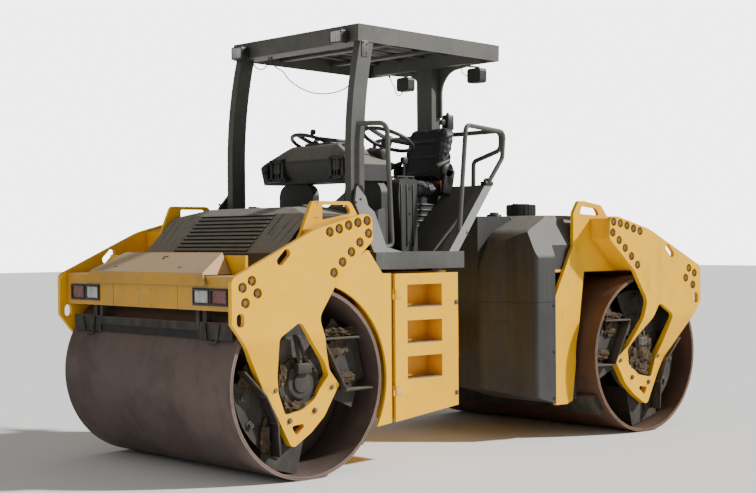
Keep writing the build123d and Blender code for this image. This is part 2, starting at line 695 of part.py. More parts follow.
def work_lamps():
    """Housings of one side's front and rear work lamps, each with a recess for its lens."""
    front = along_x(FRONT_LAMP, FRONT_LAMP_X)
    front -= lens(FRONT_LAMP, (FRONT_LAMP_X[1] - LAMP_RIM, FRONT_LAMP_X[1] + 1))
    back = along_x(REAR_LAMP, REAR_LAMP_X)
    back -= lens(REAR_LAMP, (REAR_LAMP_X[0] - 1, REAR_LAMP_X[0] + LAMP_RIM))
    return group(front, back)


def lens(frame, x):
    """Glass inside the rim of a lamp's outline."""
    (low, bottom, radius), (high, top, _) = frame[0], frame[2]
    low, high, bottom, top = low + LAMP_RIM, high - LAMP_RIM, bottom + LAMP_RIM, top - LAMP_RIM
    corners = ((low, bottom), (high, bottom), (high, top), (low, top))
    return along_x([(*corner, radius - LAMP_RIM / 2) for corner in corners], x)


def cabled_lamps():
    """All four work lamps; each rear one takes a lead through its gland."""
    near, far = work_lamps(), right(work_lamps())
    sleeves = (gland(LEAD_NEAR[-1], LEAD_NEAR[-2]), gland(LEAD_FAR[-1], LEAD_FAR[-2]))
    front, back = near.solids()
    far_front, far_back = far.solids()
    return group(front, back + sleeves[0], far_front, far_back + sleeves[1])


def work_lenses():
    front = lens(FRONT_LAMP, (FRONT_LAMP_X[1] - LAMP_RIM, FRONT_LAMP_X[1] - 2))
    back = lens(REAR_LAMP, (REAR_LAMP_X[0] + 2, REAR_LAMP_X[0] + LAMP_RIM))
    return group(front, back)


def front_post():
    foot, knee, waist, head = POST_FRONT
    behind = [(x - POST_DEPTH, z) for x, z in POST_FRONT]
    edges = Line(foot, knee) + ThreePointArc(knee, waist, head) + Line(head, behind[3])
    edges += ThreePointArc(behind[3], behind[2], behind[1])
    edges += Line(behind[1], behind[0]) + Line(behind[0], foot)
    return Plane.XZ.offset(-POST_Y[1]).location * prism(make_face(edges), POST_Y[1] - POST_Y[0])


def rear_post():
    post = box(REAR_POST_X, (-REAR_POST_HALF, REAR_POST_HALF), (SHELF_Z, HEADER_Z[1]))
    return post + both(along_x(GUSSET, (REAR_POST_X[0], REAR_POST_X[0] + GUSSET_LEAF)))


def canopy_posts():
    """Two front posts and the rear post; the left one carries a cable's end."""
    cabled = front_post() + gland(ROOF_CABLE[-1], ROOF_CABLE[-2])
    return group(cabled, right(front_post()), rear_post())


# ---- handrails -------------------------------------------------------------------------------
RAIL_RADIUS = 17
GUARD_X = REAR_POST_X[0] - RAIL_RADIUS
FRONT_RAIL = ((1040, 690, 2308), (890, 860, 2308), (872, 885, 1472), (945, 885, 1468), (1000, 885, 1560))
SIDE_RAIL = (
    (188, 880, 1590), (192, 888, 1465), (262, 898, 1450), (130, 850, 2330), (-318, 790, 2300),
    (-308, 782, 2110), (-178, 765, 1925),
)
FRONT_BENDS = (55, 40, 40)
SIDE_BENDS = (28, 28, 50, 50, 60)
GUARD_BENDS = (40, 55, 55, 55, 55, 40)
GUARD_RAIL = ((GUARD_X, 420, SHELF_Z), (GUARD_X, 425, 2100), (GUARD_X, 708, 2175), (GUARD_X, 711, 2316))


def largest(shape):
    return shape.solids().sort_by(SortBy.VOLUME)[-1]


def handrails():
    """Front and side rails, their mirror images and the guard rail behind the seat."""
    far = [(x, -y, z) for x, y, z in reversed(GUARD_RAIL)]
    guard = largest(pipe((*GUARD_RAIL, *far), RAIL_RADIUS, GUARD_BENDS) - rear_tub())
    front = largest(pipe(FRONT_RAIL, RAIL_RADIUS, FRONT_BENDS) - front_post() - post_foot())
    side = largest(pipe(SIDE_RAIL, RAIL_RADIUS, SIDE_BENDS) - rear_stay())
    return group(pair(front), pair(side), guard)


# ---- operator's controls and seat ------------------------------------------------------------
STATION_Y = 414              # each of the two steering stations
WHEEL_X = 485
WHEEL_Z = 2235
WHEEL_RADIUS = 185
WHEEL_TILT = 24
WHEEL_PLACE = Pos(WHEEL_X, STATION_Y, WHEEL_Z) * Rot(0, -WHEEL_TILT, 0)
CONSOLE_LOW = 1930           # underside of the dash and top of the knee panels
PANEL_X = (640, 700)
SEAT_Y = (-90, 410)


def steering_wheel():
    rim = Torus(WHEEL_RADIUS, 14)
    hub = Pos(0, 0, -35) * Cylinder(38, 70)
    spoke = Pos(WHEEL_RADIUS / 2, 0, -8) * Box(WHEEL_RADIUS, 26, 10)
    wheel = rim + hub
    for angle in (0, 120, 240):
        wheel += Rot(0, 0, angle) * spoke
    return WHEEL_PLACE * wheel


def knee_panel():
    low, high = STATION_Y - 235, STATION_Y + 170
    corners = ((low, PLATFORM_TOP), (low, CONSOLE_LOW, 90), (high, CONSOLE_LOW, 90), (high, PLATFORM_TOP))
    return along_x(corners, PANEL_X)


# outlines of the dash: left and up, then forward and up
DASH_FRONT = (
    (-560, CONSOLE_LOW), (-560, 2060, 30), (-250, 2205, 60), (250, 2205, 60), (560, 2060, 30),
    (560, CONSOLE_LOW),
)
DASH_SIDE = (
    (600, CONSOLE_LOW), (600, 2140, 30), (700, 2215, 40), (830, 2205, 60), (900, 2080, 60),
    (860, CONSOLE_LOW),
)


def dash():
    """Wide console over both knee panels, with a column stub for each wheel."""
    return (along_x(DASH_FRONT, (600, 900)) & along_y(DASH_SIDE, (-600, 600))) + both(
        WHEEL_PLACE * Pos(0, 0, -185) * Cylinder(30, 230)
    )


CUSHION_LOW = 1840


def seat_base():
    low, high = SEAT_Y
    corners = (
        (390, PLATFORM_TOP), (390, CUSHION_LOW, 30), (-102, CUSHION_LOW), (WALL_FOOT_X + 1, PLATFORM_TOP),
    )
    return along_y(corners, (low + 60, high - 60))


def seat_cushion():
    corners = ((-95, CUSHION_LOW), (390, CUSHION_LOW, 30), (410, 1930, 40), (250, 1950, 60), (-110, 1926))
    return along_y(corners, SEAT_Y)


def seat_back():
    """Backrest with a rounded top, its foot resting on the cushion."""
    low, high = SEAT_Y
    front = ((low, 1920), (low + 30, 2380, 90), (high - 30, 2380, 90), (high, 1920))
    side = ((-150, 1923.7), (-255, 2385, 40), (-165, 2385, 40), (-40, 1931))
    return along_x(front, (-300, 0)) & along_y(side, wider(SEAT_Y))


def side_console():
    corners = ((410, PLATFORM_TOP), (410, 1945, 30), (580, 1945, 40), (590, 1820, 60), (560, PLATFORM_TOP))
    return along_y(corners, (480, 640))


# ---- scrapers --------------------------------------------------------------------------------
SCRAPER_BAR = ((2205, 2250), (-568, 568), (957, 1007))
SCRAPER_WING = ((2235, 2247), (600, 945), (905, 1012))
STRAP_Y = ((568, 600), (640, 680))
STRAP_LOW = (957, 1007)      # lower ends of the two straps
HOOK = ((2253, 668, 1005), (2253, 690, 888), (2253, 790, 888), (2253, 822, 1000))
HOOK_RADIUS = 7
LIP_GAP = 5                  # drum to the rubber strip


def front_scraper():
    """Bar and wings that hang from the beam on straps, with a hook on each wing."""
    wing = box(*SCRAPER_WING) + pipe(HOOK, HOOK_RADIUS, (20, 20))
    for y, low in zip(STRAP_Y, STRAP_LOW):
        wing += box(SCRAPER_BAR[0], y, (low, BEAM_Z[0]))
    return box(*SCRAPER_BAR) + both(wing)


def scraper_lip():
    """Rubber strip behind the bar and wings, its drum side cut to the drum's curve."""
    reach = SCRAPER_WING[1][1]
    strip = box((2190, SCRAPER_WING[0][0]), (-reach, reach), (SCRAPER_WING[2][0], SCRAPER_BAR[2][0]))
    return strip - arch(DRUM_RADIUS + LIP_GAP, (-reach - 1, reach + 1))


# ---- steering joint --------------------------------------------------------------------------
YOKE_HALF = 90
TRUNNION_RADIUS = 70
YOKE_ARM_Z = (730, 755)
ROD_EYE_X = -60


def pivot_yoke():
    low, high = EAR_Z[0][1] + 6, EAR_Z[1][0] - 6
    yoke = box((-YOKE_HALF, YOKE_HALF), (-YOKE_HALF, YOKE_HALF), (low, high))
    yoke += rod_z(0, 0, PIN_RADIUS, (EAR_Z[0][0], EAR_Z[1][1]))
    yoke += rod_x(0, PIVOT_Z, TRUNNION_RADIUS, (-440, 0))
    arm_plate = box((ROD_EYE_X - 42, ROD_EYE_X + 42), (0, CYLINDER_Y + 42), YOKE_ARM_Z)
    return yoke + both(arm_plate)


def cylinder_barrel():
    y = CYLINDER_Y
    barrel = rod_x(y, PIVOT_Z, 42, (190, CYLINDER_PIN_X))
    barrel -= rod_x(y, PIVOT_Z, 22 + FIT, (189, CYLINDER_PIN_X - 60))
    barrel += rod_z(CYLINDER_PIN_X, y, 50, (PEDESTAL_TOP + 1, PIVOT_Z + 45))
    return barrel - rod_z(CYLINDER_PIN_X, y, CYLINDER_PIN + FIT, (PEDESTAL_TOP, PIVOT_Z + 60))


def cylinder_rod():
    y = CYLINDER_Y
    rod = rod_x(y, PIVOT_Z, 22, (ROD_EYE_X, 400))
    rod += rod_z(ROD_EYE_X, y, 40, (YOKE_ARM_Z[1] + 1, PIVOT_Z + 25))
    return rod


# ---- rear frame ------------------------------------------------------------------------------
REAR_PLATE_X = -815
NECK_X = -460
NECK_END = -230              # forward end of the trunnion's bearing
REAR_LOOP = ((-1024, 1713, 20), (-1085, 1803, 25), (-1145, 1803, 20), (-1347, 1772, 30), (-1418, 1690, 10))
REAR_LOOP_HOLE = ((-1096, 1705, 12), (-1124, 1768, 15), (-1286, 1748, 25), (-1330, 1692, 12))


def rear_side_plate():
    y = (PLATE_IN, SIDE_PLATE_Y)
    plate = along_y(
        (
            (REAR_PLATE_X, 262), (REAR_PLATE_X, 1083), (-1020, 1462), *REAR_LOOP, (-1560, 1660),
            (-2080, 1400), (-2080, DECK_Z), (-1140, DECK_Z), (-1000, 283), (-940, 262),
        ),
        y,
    )
    plate -= along_y(REAR_LOOP_HOLE, wider(y))
    plate -= rear(arch(ARCH_RADIUS, wider(y)))
    return plate + rear(arm_mount())


def rear_chassis():
    inner = (-PLATE_IN, PLATE_IN)
    frame = box((REAR_PLATE_X - 20, REAR_PLATE_X), inner, (430, 1240))
    frame += box((-2080, REAR_PLATE_X), inner, (DECK_Z, DECK_TOP))
    frame += box((REAR_PLATE_X - 20, REAR_PLATE_X), inner, (1240, DECK_TOP))
    frame += box((-2040, -2020), inner, (DECK_Z, 1400))
    frame += box((REAR_PLATE_X, NECK_X), (-180, 180), (600, 960))
    bearing = rod_x(0, PIVOT_Z, 130, (NECK_X, NECK_END))
    return frame + (bearing - rod_x(0, PIVOT_Z, TRUNNION_RADIUS + FIT, (NECK_X, NECK_END + 1)))


# forward, left: outline of the tank from above
TANK_PLAN = (
    (-430, -420, 60), (-535, -600, 60), (-612, -838, 40), (REAR_PLATE_X, -838), (REAR_PLATE_X, -805),
    (-1500, -805), (-1500, 805), (REAR_PLATE_X, 805), (REAR_PLATE_X, 838), (-612, 838, 40),
    (-535, 600, 60), (-430, 420, 60),
)
TANK_SEAM = (1037, 1043)
CAP_AT = (-1040, 280)
CAP_RADIUS = 114
CAP_Z = (1695, 1786)
CAP_RIBS = 24


def tank_cap():
    """Screw cap with grip ribs round its rim."""
    x, y = CAP_AT
    cap = rod_z(x, y, CAP_RADIUS, CAP_Z) - (rod_z(x, y, CAP_RADIUS - 14, (CAP_Z[1] - 6, CAP_Z[1] + 1)))
    for index in range(CAP_RIBS):
        turn = Pos(x, y, 0) * Rot(0, 0, 360 / CAP_RIBS * index)
        cap += turn * rod_z(CAP_RADIUS, 0, 4, (CAP_Z[0] + 8, CAP_Z[1] - 8))
    return cap


def water_tank():
    """Moulded tank that fills the space ahead of the rear drum, split round the frame's neck."""
    plan = along_z(TANK_PLAN, (250, 1720))
    face = outline(TANK_PLAN)
    seam = Pos(0, 0, TANK_SEAM[0]) * prism(face - offset(face, amount=-4), TANK_SEAM[1] - TANK_SEAM[0])
    side = along_y(
        (
            (-430, 385), (-430, 1290, 120), (-560, 1560, 200), (-860, 1695, 60), (-1500, 1695),
            (-1500, DECK_TOP), (REAR_PLATE_X, DECK_TOP), (REAR_PLATE_X, 275),
        ),
        (-860, 860),
    )
    shoulders = ((-838, 1380, 80), (-720, 1695, 60), (720, 1695, 60), (838, 1380, 80))
    front = along_x(((-838, 250), *shoulders, (838, 250)), (-1600, -400))
    tank = plan & side & front
    centre = box((REAR_PLATE_X, -430), (-400, 400), (1100, 1690))
    centre += box((-860, -430), (-400, 400), (DECK_TOP, 1690))
    tunnel = box((REAR_PLATE_X, -400), (-190, 190), (250, 980))
    return tank + centre - tunnel - seam


# ---- the pieces, by node name -----------------------------------------------------------------
PARTS = {
    "front_drum_shell": drum_shell(),
    "front_drum_brackets": drum_brackets(),
    "front_drum_rubber_blocks": rubber_blocks(),
    "front_arm_left": arm(),
    "front_axles": pair(axle()),
    "front_chassis": front_chassis(),
    "front_bulkhead": front_bulkhead(),
    "front_side_plates": pair(front_side_plate()),
    "front_beam": beam(),
    "front_lamp_housings": pair(lamp_housing()),
    "front_lamp_white": pair(lamp_lens(LAMP_Y[0])),
    "front_lamp_red": pair(lamp_lens(LAMP_Y[1])),
    "front_lid": front_lid(),
    "engine_hood": engine_hood(),
    "engine": group(
        box((1130, 1480), (-330, 330), (DECK_TOP, 1610)),
        box((1560, 1620), (-400, 400), (DECK_TOP, 1520)),
    ),
    "skirts": pair(skirt()),
    "step_boxes": pair(step_box()),
    "step_door_left": step_door(),
    "post_feet": pair(post_foot()),
    "platform": group(platform(), platform_mount(360), platform_mount(930)),
    "rear_tub": group(rear_tub(), pair(rear_stay())),
    "canopy_roof": canopy_roof(),
    "canopy_posts": canopy_posts(),
    "work_lamps": cabled_lamps(),
    "work_lenses": pair(work_lenses()),
    "roof_cable": cord(ROOF_CABLE, CABLE_RADIUS),
    "roof_cable_short": cord(SHORT_CABLE, CABLE_RADIUS),
    "lamp_lead_left": cord(LEAD_NEAR, LEAD_RADIUS),
    "lamp_lead_right": cord(LEAD_FAR, LEAD_RADIUS),
    "handrails": handrails(),
    "steering_wheels": pair(steering_wheel()),
    "control_console": group(dash(), pair(knee_panel()), side_console()),
    "seat_base": seat_base(),
    "seat_cushion": seat_cushion(),
    "seat_back": seat_back(),
    "front_scraper": front_scraper(),
    "front_scraper_lip": scraper_lip(),
    "pivot_yoke": pivot_yoke(),
    "steering_barrel_left": cylinder_barrel(),
    "steering_rod_left": cylinder_rod(),
    "rear_chassis": rear_chassis(),
    "rear_side_plates": pair(rear_side_plate()),
    "water_tank": water_tank(),
    "tank_cap": tank_cap(),
}
MIRRORED = ("front_arm", "step_door", "steering_barrel", "steering_rod")
AT_BOTH_ENDS = (
    "arm_left", "arm_right", "axles", "beam", "lamp_housings", "lamp_white", "lamp_red",
    "drum_shell", "drum_brackets", "drum_rubber_blocks", "scraper", "scraper_lip",
)
for name in MIRRORED:
    PARTS[name + "_right"] = right(PARTS[name + "_left"])
for name in AT_BOTH_ENDS:
    PARTS["rear_" + name] = rear(PARTS["front_" + name])

# ---- write one file a piece ------------------------------------------------------------------
for name, shape in PARTS.items():
    export_step(shape, f"parts/{name}.step")
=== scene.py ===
"""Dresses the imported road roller: finishes for its plates, castings and mouldings, and its small fittings."""

import json
import logging
import math
from dataclasses import dataclass
from enum import Enum
from functools import partial
from typing import Any, Callable, Iterable, Sequence

import bmesh
import bpy
from mathutils import Matrix, Vector, noise


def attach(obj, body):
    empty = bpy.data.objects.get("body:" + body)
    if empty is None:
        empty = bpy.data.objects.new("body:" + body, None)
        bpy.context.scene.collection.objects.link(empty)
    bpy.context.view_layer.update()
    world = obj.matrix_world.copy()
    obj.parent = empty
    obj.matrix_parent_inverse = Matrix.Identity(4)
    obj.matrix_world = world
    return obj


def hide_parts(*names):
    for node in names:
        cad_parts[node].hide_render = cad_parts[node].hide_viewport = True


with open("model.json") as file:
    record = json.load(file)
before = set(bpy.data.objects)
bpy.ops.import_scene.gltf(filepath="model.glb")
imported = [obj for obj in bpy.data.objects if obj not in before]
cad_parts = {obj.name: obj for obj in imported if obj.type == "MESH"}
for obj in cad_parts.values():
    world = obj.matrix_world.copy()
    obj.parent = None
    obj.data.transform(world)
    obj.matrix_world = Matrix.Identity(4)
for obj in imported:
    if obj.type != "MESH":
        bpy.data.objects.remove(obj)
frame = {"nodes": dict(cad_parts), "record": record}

logging.basicConfig(level=logging.INFO, format="%(message)s")
LOG = logging.getLogger("roller")

Pair = tuple[float, float]
Point = tuple[float, float, float]
MM = 0.001  # sizes below are millimetres, finished meshes are metres
PER_METRE = 1000  # millimetres in a metre, for a pattern's scale
ACROSS, UP, AHEAD = (0, 1, 0), (0, 0, 1), (1, 0, 0)  # the machine's left, up and front
VALUE, FROM_LOW, FROM_HIGH, TO_LOW, TO_HIGH = range(5)  # inputs of a MapRange node
MIX_A, MIX_B, MIXED = 6, 7, 2  # a Mix node's two colours and the colour it gives
SMOOTH = "SMOOTHSTEP"
GRAIN_ROUGHNESS, DUST_ROUGHNESS = 0.16, 0.35  # how far the grain and full dust change the roughness
BUMP_STRENGTH, PATCH_RELIEF, RIB_RELIEF = 0.6, 1.5, 6.0  # the reliefs are against the grain's own
WASHER_MIDDLE, WASHER_THICK, HEAD_FOOT = 0.12, 0.24, 0.2  # up from a bolt's seat, as shares of its head's height
HEAD_TAPER = 0.94  # a head's width at its top, as a share of its foot's
LUMP_HOLLOWS = 1.9  # how many hollows there are in a lump's radius
LUMP_NOISE = (0.7, 2.2, 4)  # how fast the noise fades, the step between its octaves, and how many


class Body(str, Enum):
    """The rigid bodies that pieces ride on."""

    FRONT = "front_frame"
    REAR = "rear_frame"
    HOOD = "engine_hood"
    LID = "front_lid"
    DOOR_LEFT = "step_door_left"
    DOOR_RIGHT = "step_door_right"


class Axis(str, Enum):
    """The axes of the shared frame."""

    X = "X"
    Y = "Y"
    Z = "Z"


class Stiffness(str, Enum):
    """How stiff a cord is."""

    LIMP = "limp"
    MEDIUM = "medium"


class LampKind(str, Enum):
    """The kinds of studio lamp."""

    SUN = "SUN"
    AREA = "AREA"


# ---- colour and nodes --------------------------------------------------------------------------
def linear(code: str) -> tuple[float, float, float, float]:
    """Turns an sRGB hex colour into linear RGBA.

    Args:
        code: six hex digits, such as "E0A63C".

    Returns:
        The linear colour with full alpha.
    """
    parts = [int(code[i : i + 2], 16) / 255 for i in (0, 2, 4)]
    return (*[p / 12.92 if p <= 0.04045 else ((p + 0.055) / 1.055) ** 2.4 for p in parts], 1.0)


def add_node(tree: bpy.types.NodeTree, kind: str, links: dict[Any, Any] | None = None, out: int | str = 0,
             **settings: Any) -> bpy.types.NodeSocket | None:
    """Adds a shader node with its settings and links.

    Args:
        tree: the node tree.
        kind: the node's type name without its ShaderNode prefix.
        links: input name or index to an output socket or a plain value.
        out: which of its outputs to give back.
        **settings: attributes of the node itself.

    Returns:
        That output, or None where the node has none.
    """
    node = tree.nodes.new("ShaderNode" + kind)
    for key, value in settings.items():
        setattr(node, key, value)
    for key, value in (links or {}).items():
        if isinstance(value, bpy.types.NodeSocket):
            tree.links.new(value, node.inputs[key])
        else:
            node.inputs[key].default_value = value
    return node.outputs[out] if node.outputs else None


@dataclass(frozen=True)
class Coat:
    """A painted, moulded or rolled surface with dust, grime, painted shade in its corners and a fine grain.

    Sizes are real millimetres. Dust gathers on faces that look up, grime in patches, painted shade in corners and
    recesses, wear along edges. A stretch below 1 draws a pattern out along that axis, such as drips down a panel.
    Grain finer than a few millimetres wouldn't show at this distance, so it is drawn that coarse.
    """

    name: str
    base: str
    shade: str
    dust: str
    # colour of the grime in spots, also painted into corners and recesses as shade
    grime_and_shade: str
    roughness: float = 0.5
    metallic: float = 0.0
    patch_mm: float = 400.0
    grain_mm: float = 6.0
    dust_amount: float = 0.5
    # how much of the grime and of the painted corner shade is mixed in
    grime_and_shade_amount: float = 0.35
    bump_mm: float = 0.3
    stretch: Point = (1.0, 1.0, 0.35)
    # how far out from a corner the painted shade reaches
    corner_mm: float = 60.0
    clearcoat: float = 0.0
    wear: str = "8A7D68"
    wear_amount: float = 0.0
    wear_mm: float = 8.0
    chips: str = "5A2E14"
    chip_amount: float = 0.0
    chip_mm: float = 18.0
    ribs_mm: float = 0.0
    rib_axis: Axis = Axis.Y
    film: float = 0.32
    specular: float = 0.5
    cloud_roughness: float = 0.62

    def material(self) -> bpy.types.Material:
        """Builds the node material.

        Returns:
            The material, named for the finish.
        """
        mat = bpy.data.materials.new(self.name)
        mat.use_nodes = True
        mat.node_tree.nodes.clear()
        node = partial(add_node, mat.node_tree)
        place = node("TexCoord", out="Object")
        run = node("Mapping", {"Vector": place, "Scale": self.stretch})
        patch, drawn, fine, mid = [
            node("TexNoise", {"Vector": vector, "Scale": PER_METRE / size_mm, "Detail": detail,
                              "Roughness": self.cloud_roughness}, "Fac")
            for vector, size_mm, detail in (
                (place, self.patch_mm, 6.0), (run, self.patch_mm / 3, 8.0),
                (place, self.grain_mm, 3.0), (place, self.patch_mm / 4, 8.0),
            )
        ]
        dust = self.settled_dust(node, drawn, mid)
        colour = self.soiled_and_shaded(node, patch, drawn, dust)
        if self.wear_amount:
            colour = self.worn(node, mid, colour)
        if self.chip_amount:
            colour = self.chipped(node, place, mid, colour)
        rough = node("Math", {0: fine, 1: GRAIN_ROUGHNESS}, operation="MULTIPLY")
        rough = node("Math", {0: rough, 1: self.roughness - GRAIN_ROUGHNESS / 2}, operation="ADD")
        matter = node("Math", {0: dust, 1: DUST_ROUGHNESS}, operation="MULTIPLY")
        rough = node("Math", {0: rough, 1: matter}, operation="ADD")
        height = self.relief(node, place, fine, mid)
        depth = self.bump_mm / PER_METRE
        normal = node("Bump", {"Height": height, "Strength": BUMP_STRENGTH, "Distance": depth})
        surface = node("BsdfPrincipled", {
            "Base Color": colour, "Roughness": rough, "Metallic": self.metallic, "Normal": normal,
            "Coat Weight": self.clearcoat, "Specular IOR Level": self.specular,
        })
        node("OutputMaterial", {"Surface": surface})
        return mat

    def settled_dust(self, node: Callable[..., Any], drawn: Any, mid: Any) -> bpy.types.NodeSocket:
        """Spreads dust on faces that look up, and a thin drawn-out film of it elsewhere.

        Args:
            node: adds a node to the material.
            drawn: the drawn-out pattern.
            mid: the pattern of middling patches.

        Returns:
            How much dust there is, from 0 to 1.
        """
        normal = node("NewGeometry", out="Normal")
        facing = node("SeparateXYZ", {0: normal}, "Z")
        level = node("MapRange", {VALUE: facing, FROM_LOW: 0.05, FROM_HIGH: 0.95}, interpolation_type=SMOOTH)
        patches = node("MapRange", {VALUE: mid, FROM_LOW: 0.1, FROM_HIGH: 0.5}, interpolation_type=SMOOTH)
        settled = node("Math", {0: level, 1: patches}, operation="MULTIPLY")
        streaks = node("MapRange", {VALUE: drawn, FROM_LOW: 0.42, FROM_HIGH: 0.75}, interpolation_type=SMOOTH)
        film = node("Math", {0: streaks, 1: self.film}, operation="MULTIPLY")
        most = node("Math", {0: settled, 1: film}, operation="MAXIMUM")
        return node("Math", {0: most, 1: self.dust_amount}, operation="MULTIPLY")

    def soiled_and_shaded(self, node: Callable[..., Any], patch: Any, drawn: Any, dust: Any) -> bpy.types.NodeSocket:
        """Mixes the base colour's two tones, then dust, then grime in spots and painted shade in corners and
        recesses.

        Args:
            node: adds a node to the material.
            patch: the pattern of broad patches.
            drawn: the drawn-out pattern.
            dust: how much dust there is.

        Returns:
            The colour.
        """
        broad = node("MapRange", {VALUE: patch, FROM_LOW: 0.38, FROM_HIGH: 0.66}, interpolation_type=SMOOTH)
        colour = node("Mix", {"Factor": broad, MIX_A: linear(self.base), MIX_B: linear(self.shade)}, MIXED,
                      data_type="RGBA")
        colour = node("Mix", {"Factor": dust, MIX_A: colour, MIX_B: linear(self.dust)}, MIXED,
                      data_type="RGBA")
        # Painted shade: where ambient occlusion finds a corner or recess, the grime colour is mixed in as shade.
        # The noise spots are real grime.
        corner = node("AmbientOcclusion", {"Distance": self.corner_mm / PER_METRE}, "AO", samples=5)
        spots = node("MapRange", {VALUE: drawn, FROM_LOW: 0.56, FROM_HIGH: 0.76}, interpolation_type=SMOOTH)
        corners = node("MapRange", {VALUE: corner, FROM_LOW: 0.95, FROM_HIGH: 0.4}, interpolation_type=SMOOTH)
        spots_and_corner_shade = node("Math", {0: corners, 1: spots}, operation="MAXIMUM")
        grime_and_shade = node("Math", {0: spots_and_corner_shade, 1: self.grime_and_shade_amount}, operation="MULTIPLY")
        return node("Mix", {"Factor": grime_and_shade, MIX_A: colour, MIX_B: linear(self.grime_and_shade)}, MIXED,
                    data_type="RGBA")

    def worn(self, node: Callable[..., Any], mid: Any, colour: Any) -> bpy.types.NodeSocket:
        """Rubs edges through to the wear colour, in patches.

        Args:
            node: adds a node to the material.
            mid: the pattern of middling patches.
            colour: the colour so far.

        Returns:
            The colour.
        """
        edge = node("AmbientOcclusion", {"Distance": self.wear_mm / PER_METRE}, "AO", samples=4, inside=True)
        edges = node("MapRange", {VALUE: edge, FROM_LOW: 0.8, FROM_HIGH: 0.35}, interpolation_type=SMOOTH)
        where = node("MapRange", {VALUE: mid, FROM_LOW: 0.35, FROM_HIGH: 0.55}, interpolation_type=SMOOTH)
        rubbed = node("Math", {0: edges, 1: where}, operation="MULTIPLY")
        rubbed = node("Math", {0: rubbed, 1: self.wear_amount}, operation="MULTIPLY")
        return node("Mix", {"Factor": rubbed, MIX_A: colour, MIX_B: linear(self.wear)}, MIXED,
                    data_type="RGBA")

    def chipped(self, node: Callable[..., Any], place: Any, mid: Any, colour: Any) -> bpy.types.NodeSocket:
        """Knocks small chips out of the paint, down to rust.

        Args:
            node: adds a node to the material.
            place: Object coordinates.
            mid: the pattern of middling patches.
            colour: the colour so far.

        Returns:
            The colour.
        """
        flecks = node("TexNoise", {"Vector": place, "Scale": PER_METRE / self.chip_mm, "Detail": 2.0,
                                   "Roughness": self.cloud_roughness}, "Fac")
        flecks = node("MapRange", {VALUE: flecks, FROM_LOW: 0.66, FROM_HIGH: 0.7}, interpolation_type=SMOOTH)
        where = node("MapRange", {VALUE: mid, FROM_LOW: 0.55, FROM_HIGH: 0.68}, interpolation_type=SMOOTH)
        flecks = node("Math", {0: flecks, 1: where}, operation="MULTIPLY")
        flecks = node("Math", {0: flecks, 1: self.chip_amount}, operation="MULTIPLY")
        return node("Mix", {"Factor": flecks, MIX_A: colour, MIX_B: linear(self.chips)}, MIXED,
                    data_type="RGBA")

    def relief(self, node: Callable[..., Any], place: Any, fine: Any, mid: Any) -> bpy.types.NodeSocket:
        """Adds up the grain, the patches and the moulded ribs.

        Args:
            node: adds a node to the material.
            place: Object coordinates.
            fine: the pattern of the grain.
            mid: the pattern of middling patches.

        Returns:
            The surface's height.
        """
        swell = node("Math", {0: mid, 1: PATCH_RELIEF}, operation="MULTIPLY")
        height = node("Math", {0: fine, 1: swell}, operation="ADD")
        if self.ribs_mm:
            scale = PER_METRE / self.ribs_mm / math.tau
            wave = node("TexWave", {"Vector": place, "Scale": scale}, "Fac", bands_direction=self.rib_axis.value)
            ribs = node("Math", {0: wave, 1: RIB_RELIEF}, operation="MULTIPLY")
            height = node("Math", {0: height, 1: ribs}, operation="ADD")
        return height


# Polyurethane machine enamel, sprayed: warm yellow, chalky where it faces up, brown grime in spots and brown
# painted shade in the corners.
ENAMEL = Coat(
    "yellow_machine_enamel", "F4B800", "EAAC00", "D2AC5C", "7A4A08",
    roughness=0.45, metallic=0.0, patch_mm=700, grain_mm=5, dust_amount=0.3, grime_and_shade_amount=0.3,
    bump_mm=0.12, wear="C9B08A", wear_amount=0.4, wear_mm=8, chip_amount=0.8, film=0.12, specular=0.3,
)
# The same enamel low on the front face, with more dust on it. Its darker base colours are painted shade of the
# machine's front face.
SHADED_DUSTY_ENAMEL = Coat(
    "shaded_dusty_yellow_enamel", "D29A10", "BE8A10", "BEA382", "5C3E14",
    roughness=0.5, metallic=0.0, patch_mm=420, grain_mm=5, dust_amount=0.95, grime_and_shade_amount=0.35,
    bump_mm=0.2, wear="B8A488", wear_amount=0.4, chip_amount=0.9,
)
# Textured dark grey powder coat of the canopy and platform.
POWDER = Coat(
    "dark_grey_powder_coat", "4B4B46", "3E3E3A", "77736A", "1F1D1A",
    roughness=0.5, metallic=0.0, patch_mm=380, grain_mm=4, dust_amount=0.45, grime_and_shade_amount=0.3, bump_mm=0.2,
    wear="6E6A60", wear_amount=0.35,
)
# Rotation-moulded polyethylene of the tank, near black with pale drips.
MOULDED = Coat(
    "moulded_polyethylene", "2C2C2A", "232322", "8E877B", "131210",
    roughness=0.5, metallic=0.0, patch_mm=420, grain_mm=7, dust_amount=0.9, grime_and_shade_amount=0.3, bump_mm=0.3,
    stretch=(3.0, 3.0, 0.15), film=0.07,
)
# Drum steel, rolled and worn bare, filmed with dry clay in rings round the drum.
DRUM = Coat(
    "worn_drum_steel", "655650", "52453F", "7C6D60", "352A24",
    roughness=0.62, metallic=0.2, patch_mm=300, grain_mm=9, dust_amount=0.35, grime_and_shade_amount=0.45,
    bump_mm=0.5, stretch=(0.4, 2.5, 0.4), wear="A58B6C", wear_amount=0.9, wear_mm=14,
)
# The rear drum's steel is redder with rust.
RUSTY_DRUM = Coat(
    "rusty_drum_steel", "5D402F", "4A3327", "76604E", "2C1E16",
    roughness=0.68, metallic=0.15, patch_mm=260, grain_mm=9, dust_amount=0.35, grime_and_shade_amount=0.45,
    bump_mm=0.5, stretch=(0.4, 2.5, 0.4), wear="A58B6C", wear_amount=0.8, wear_mm=14,
)
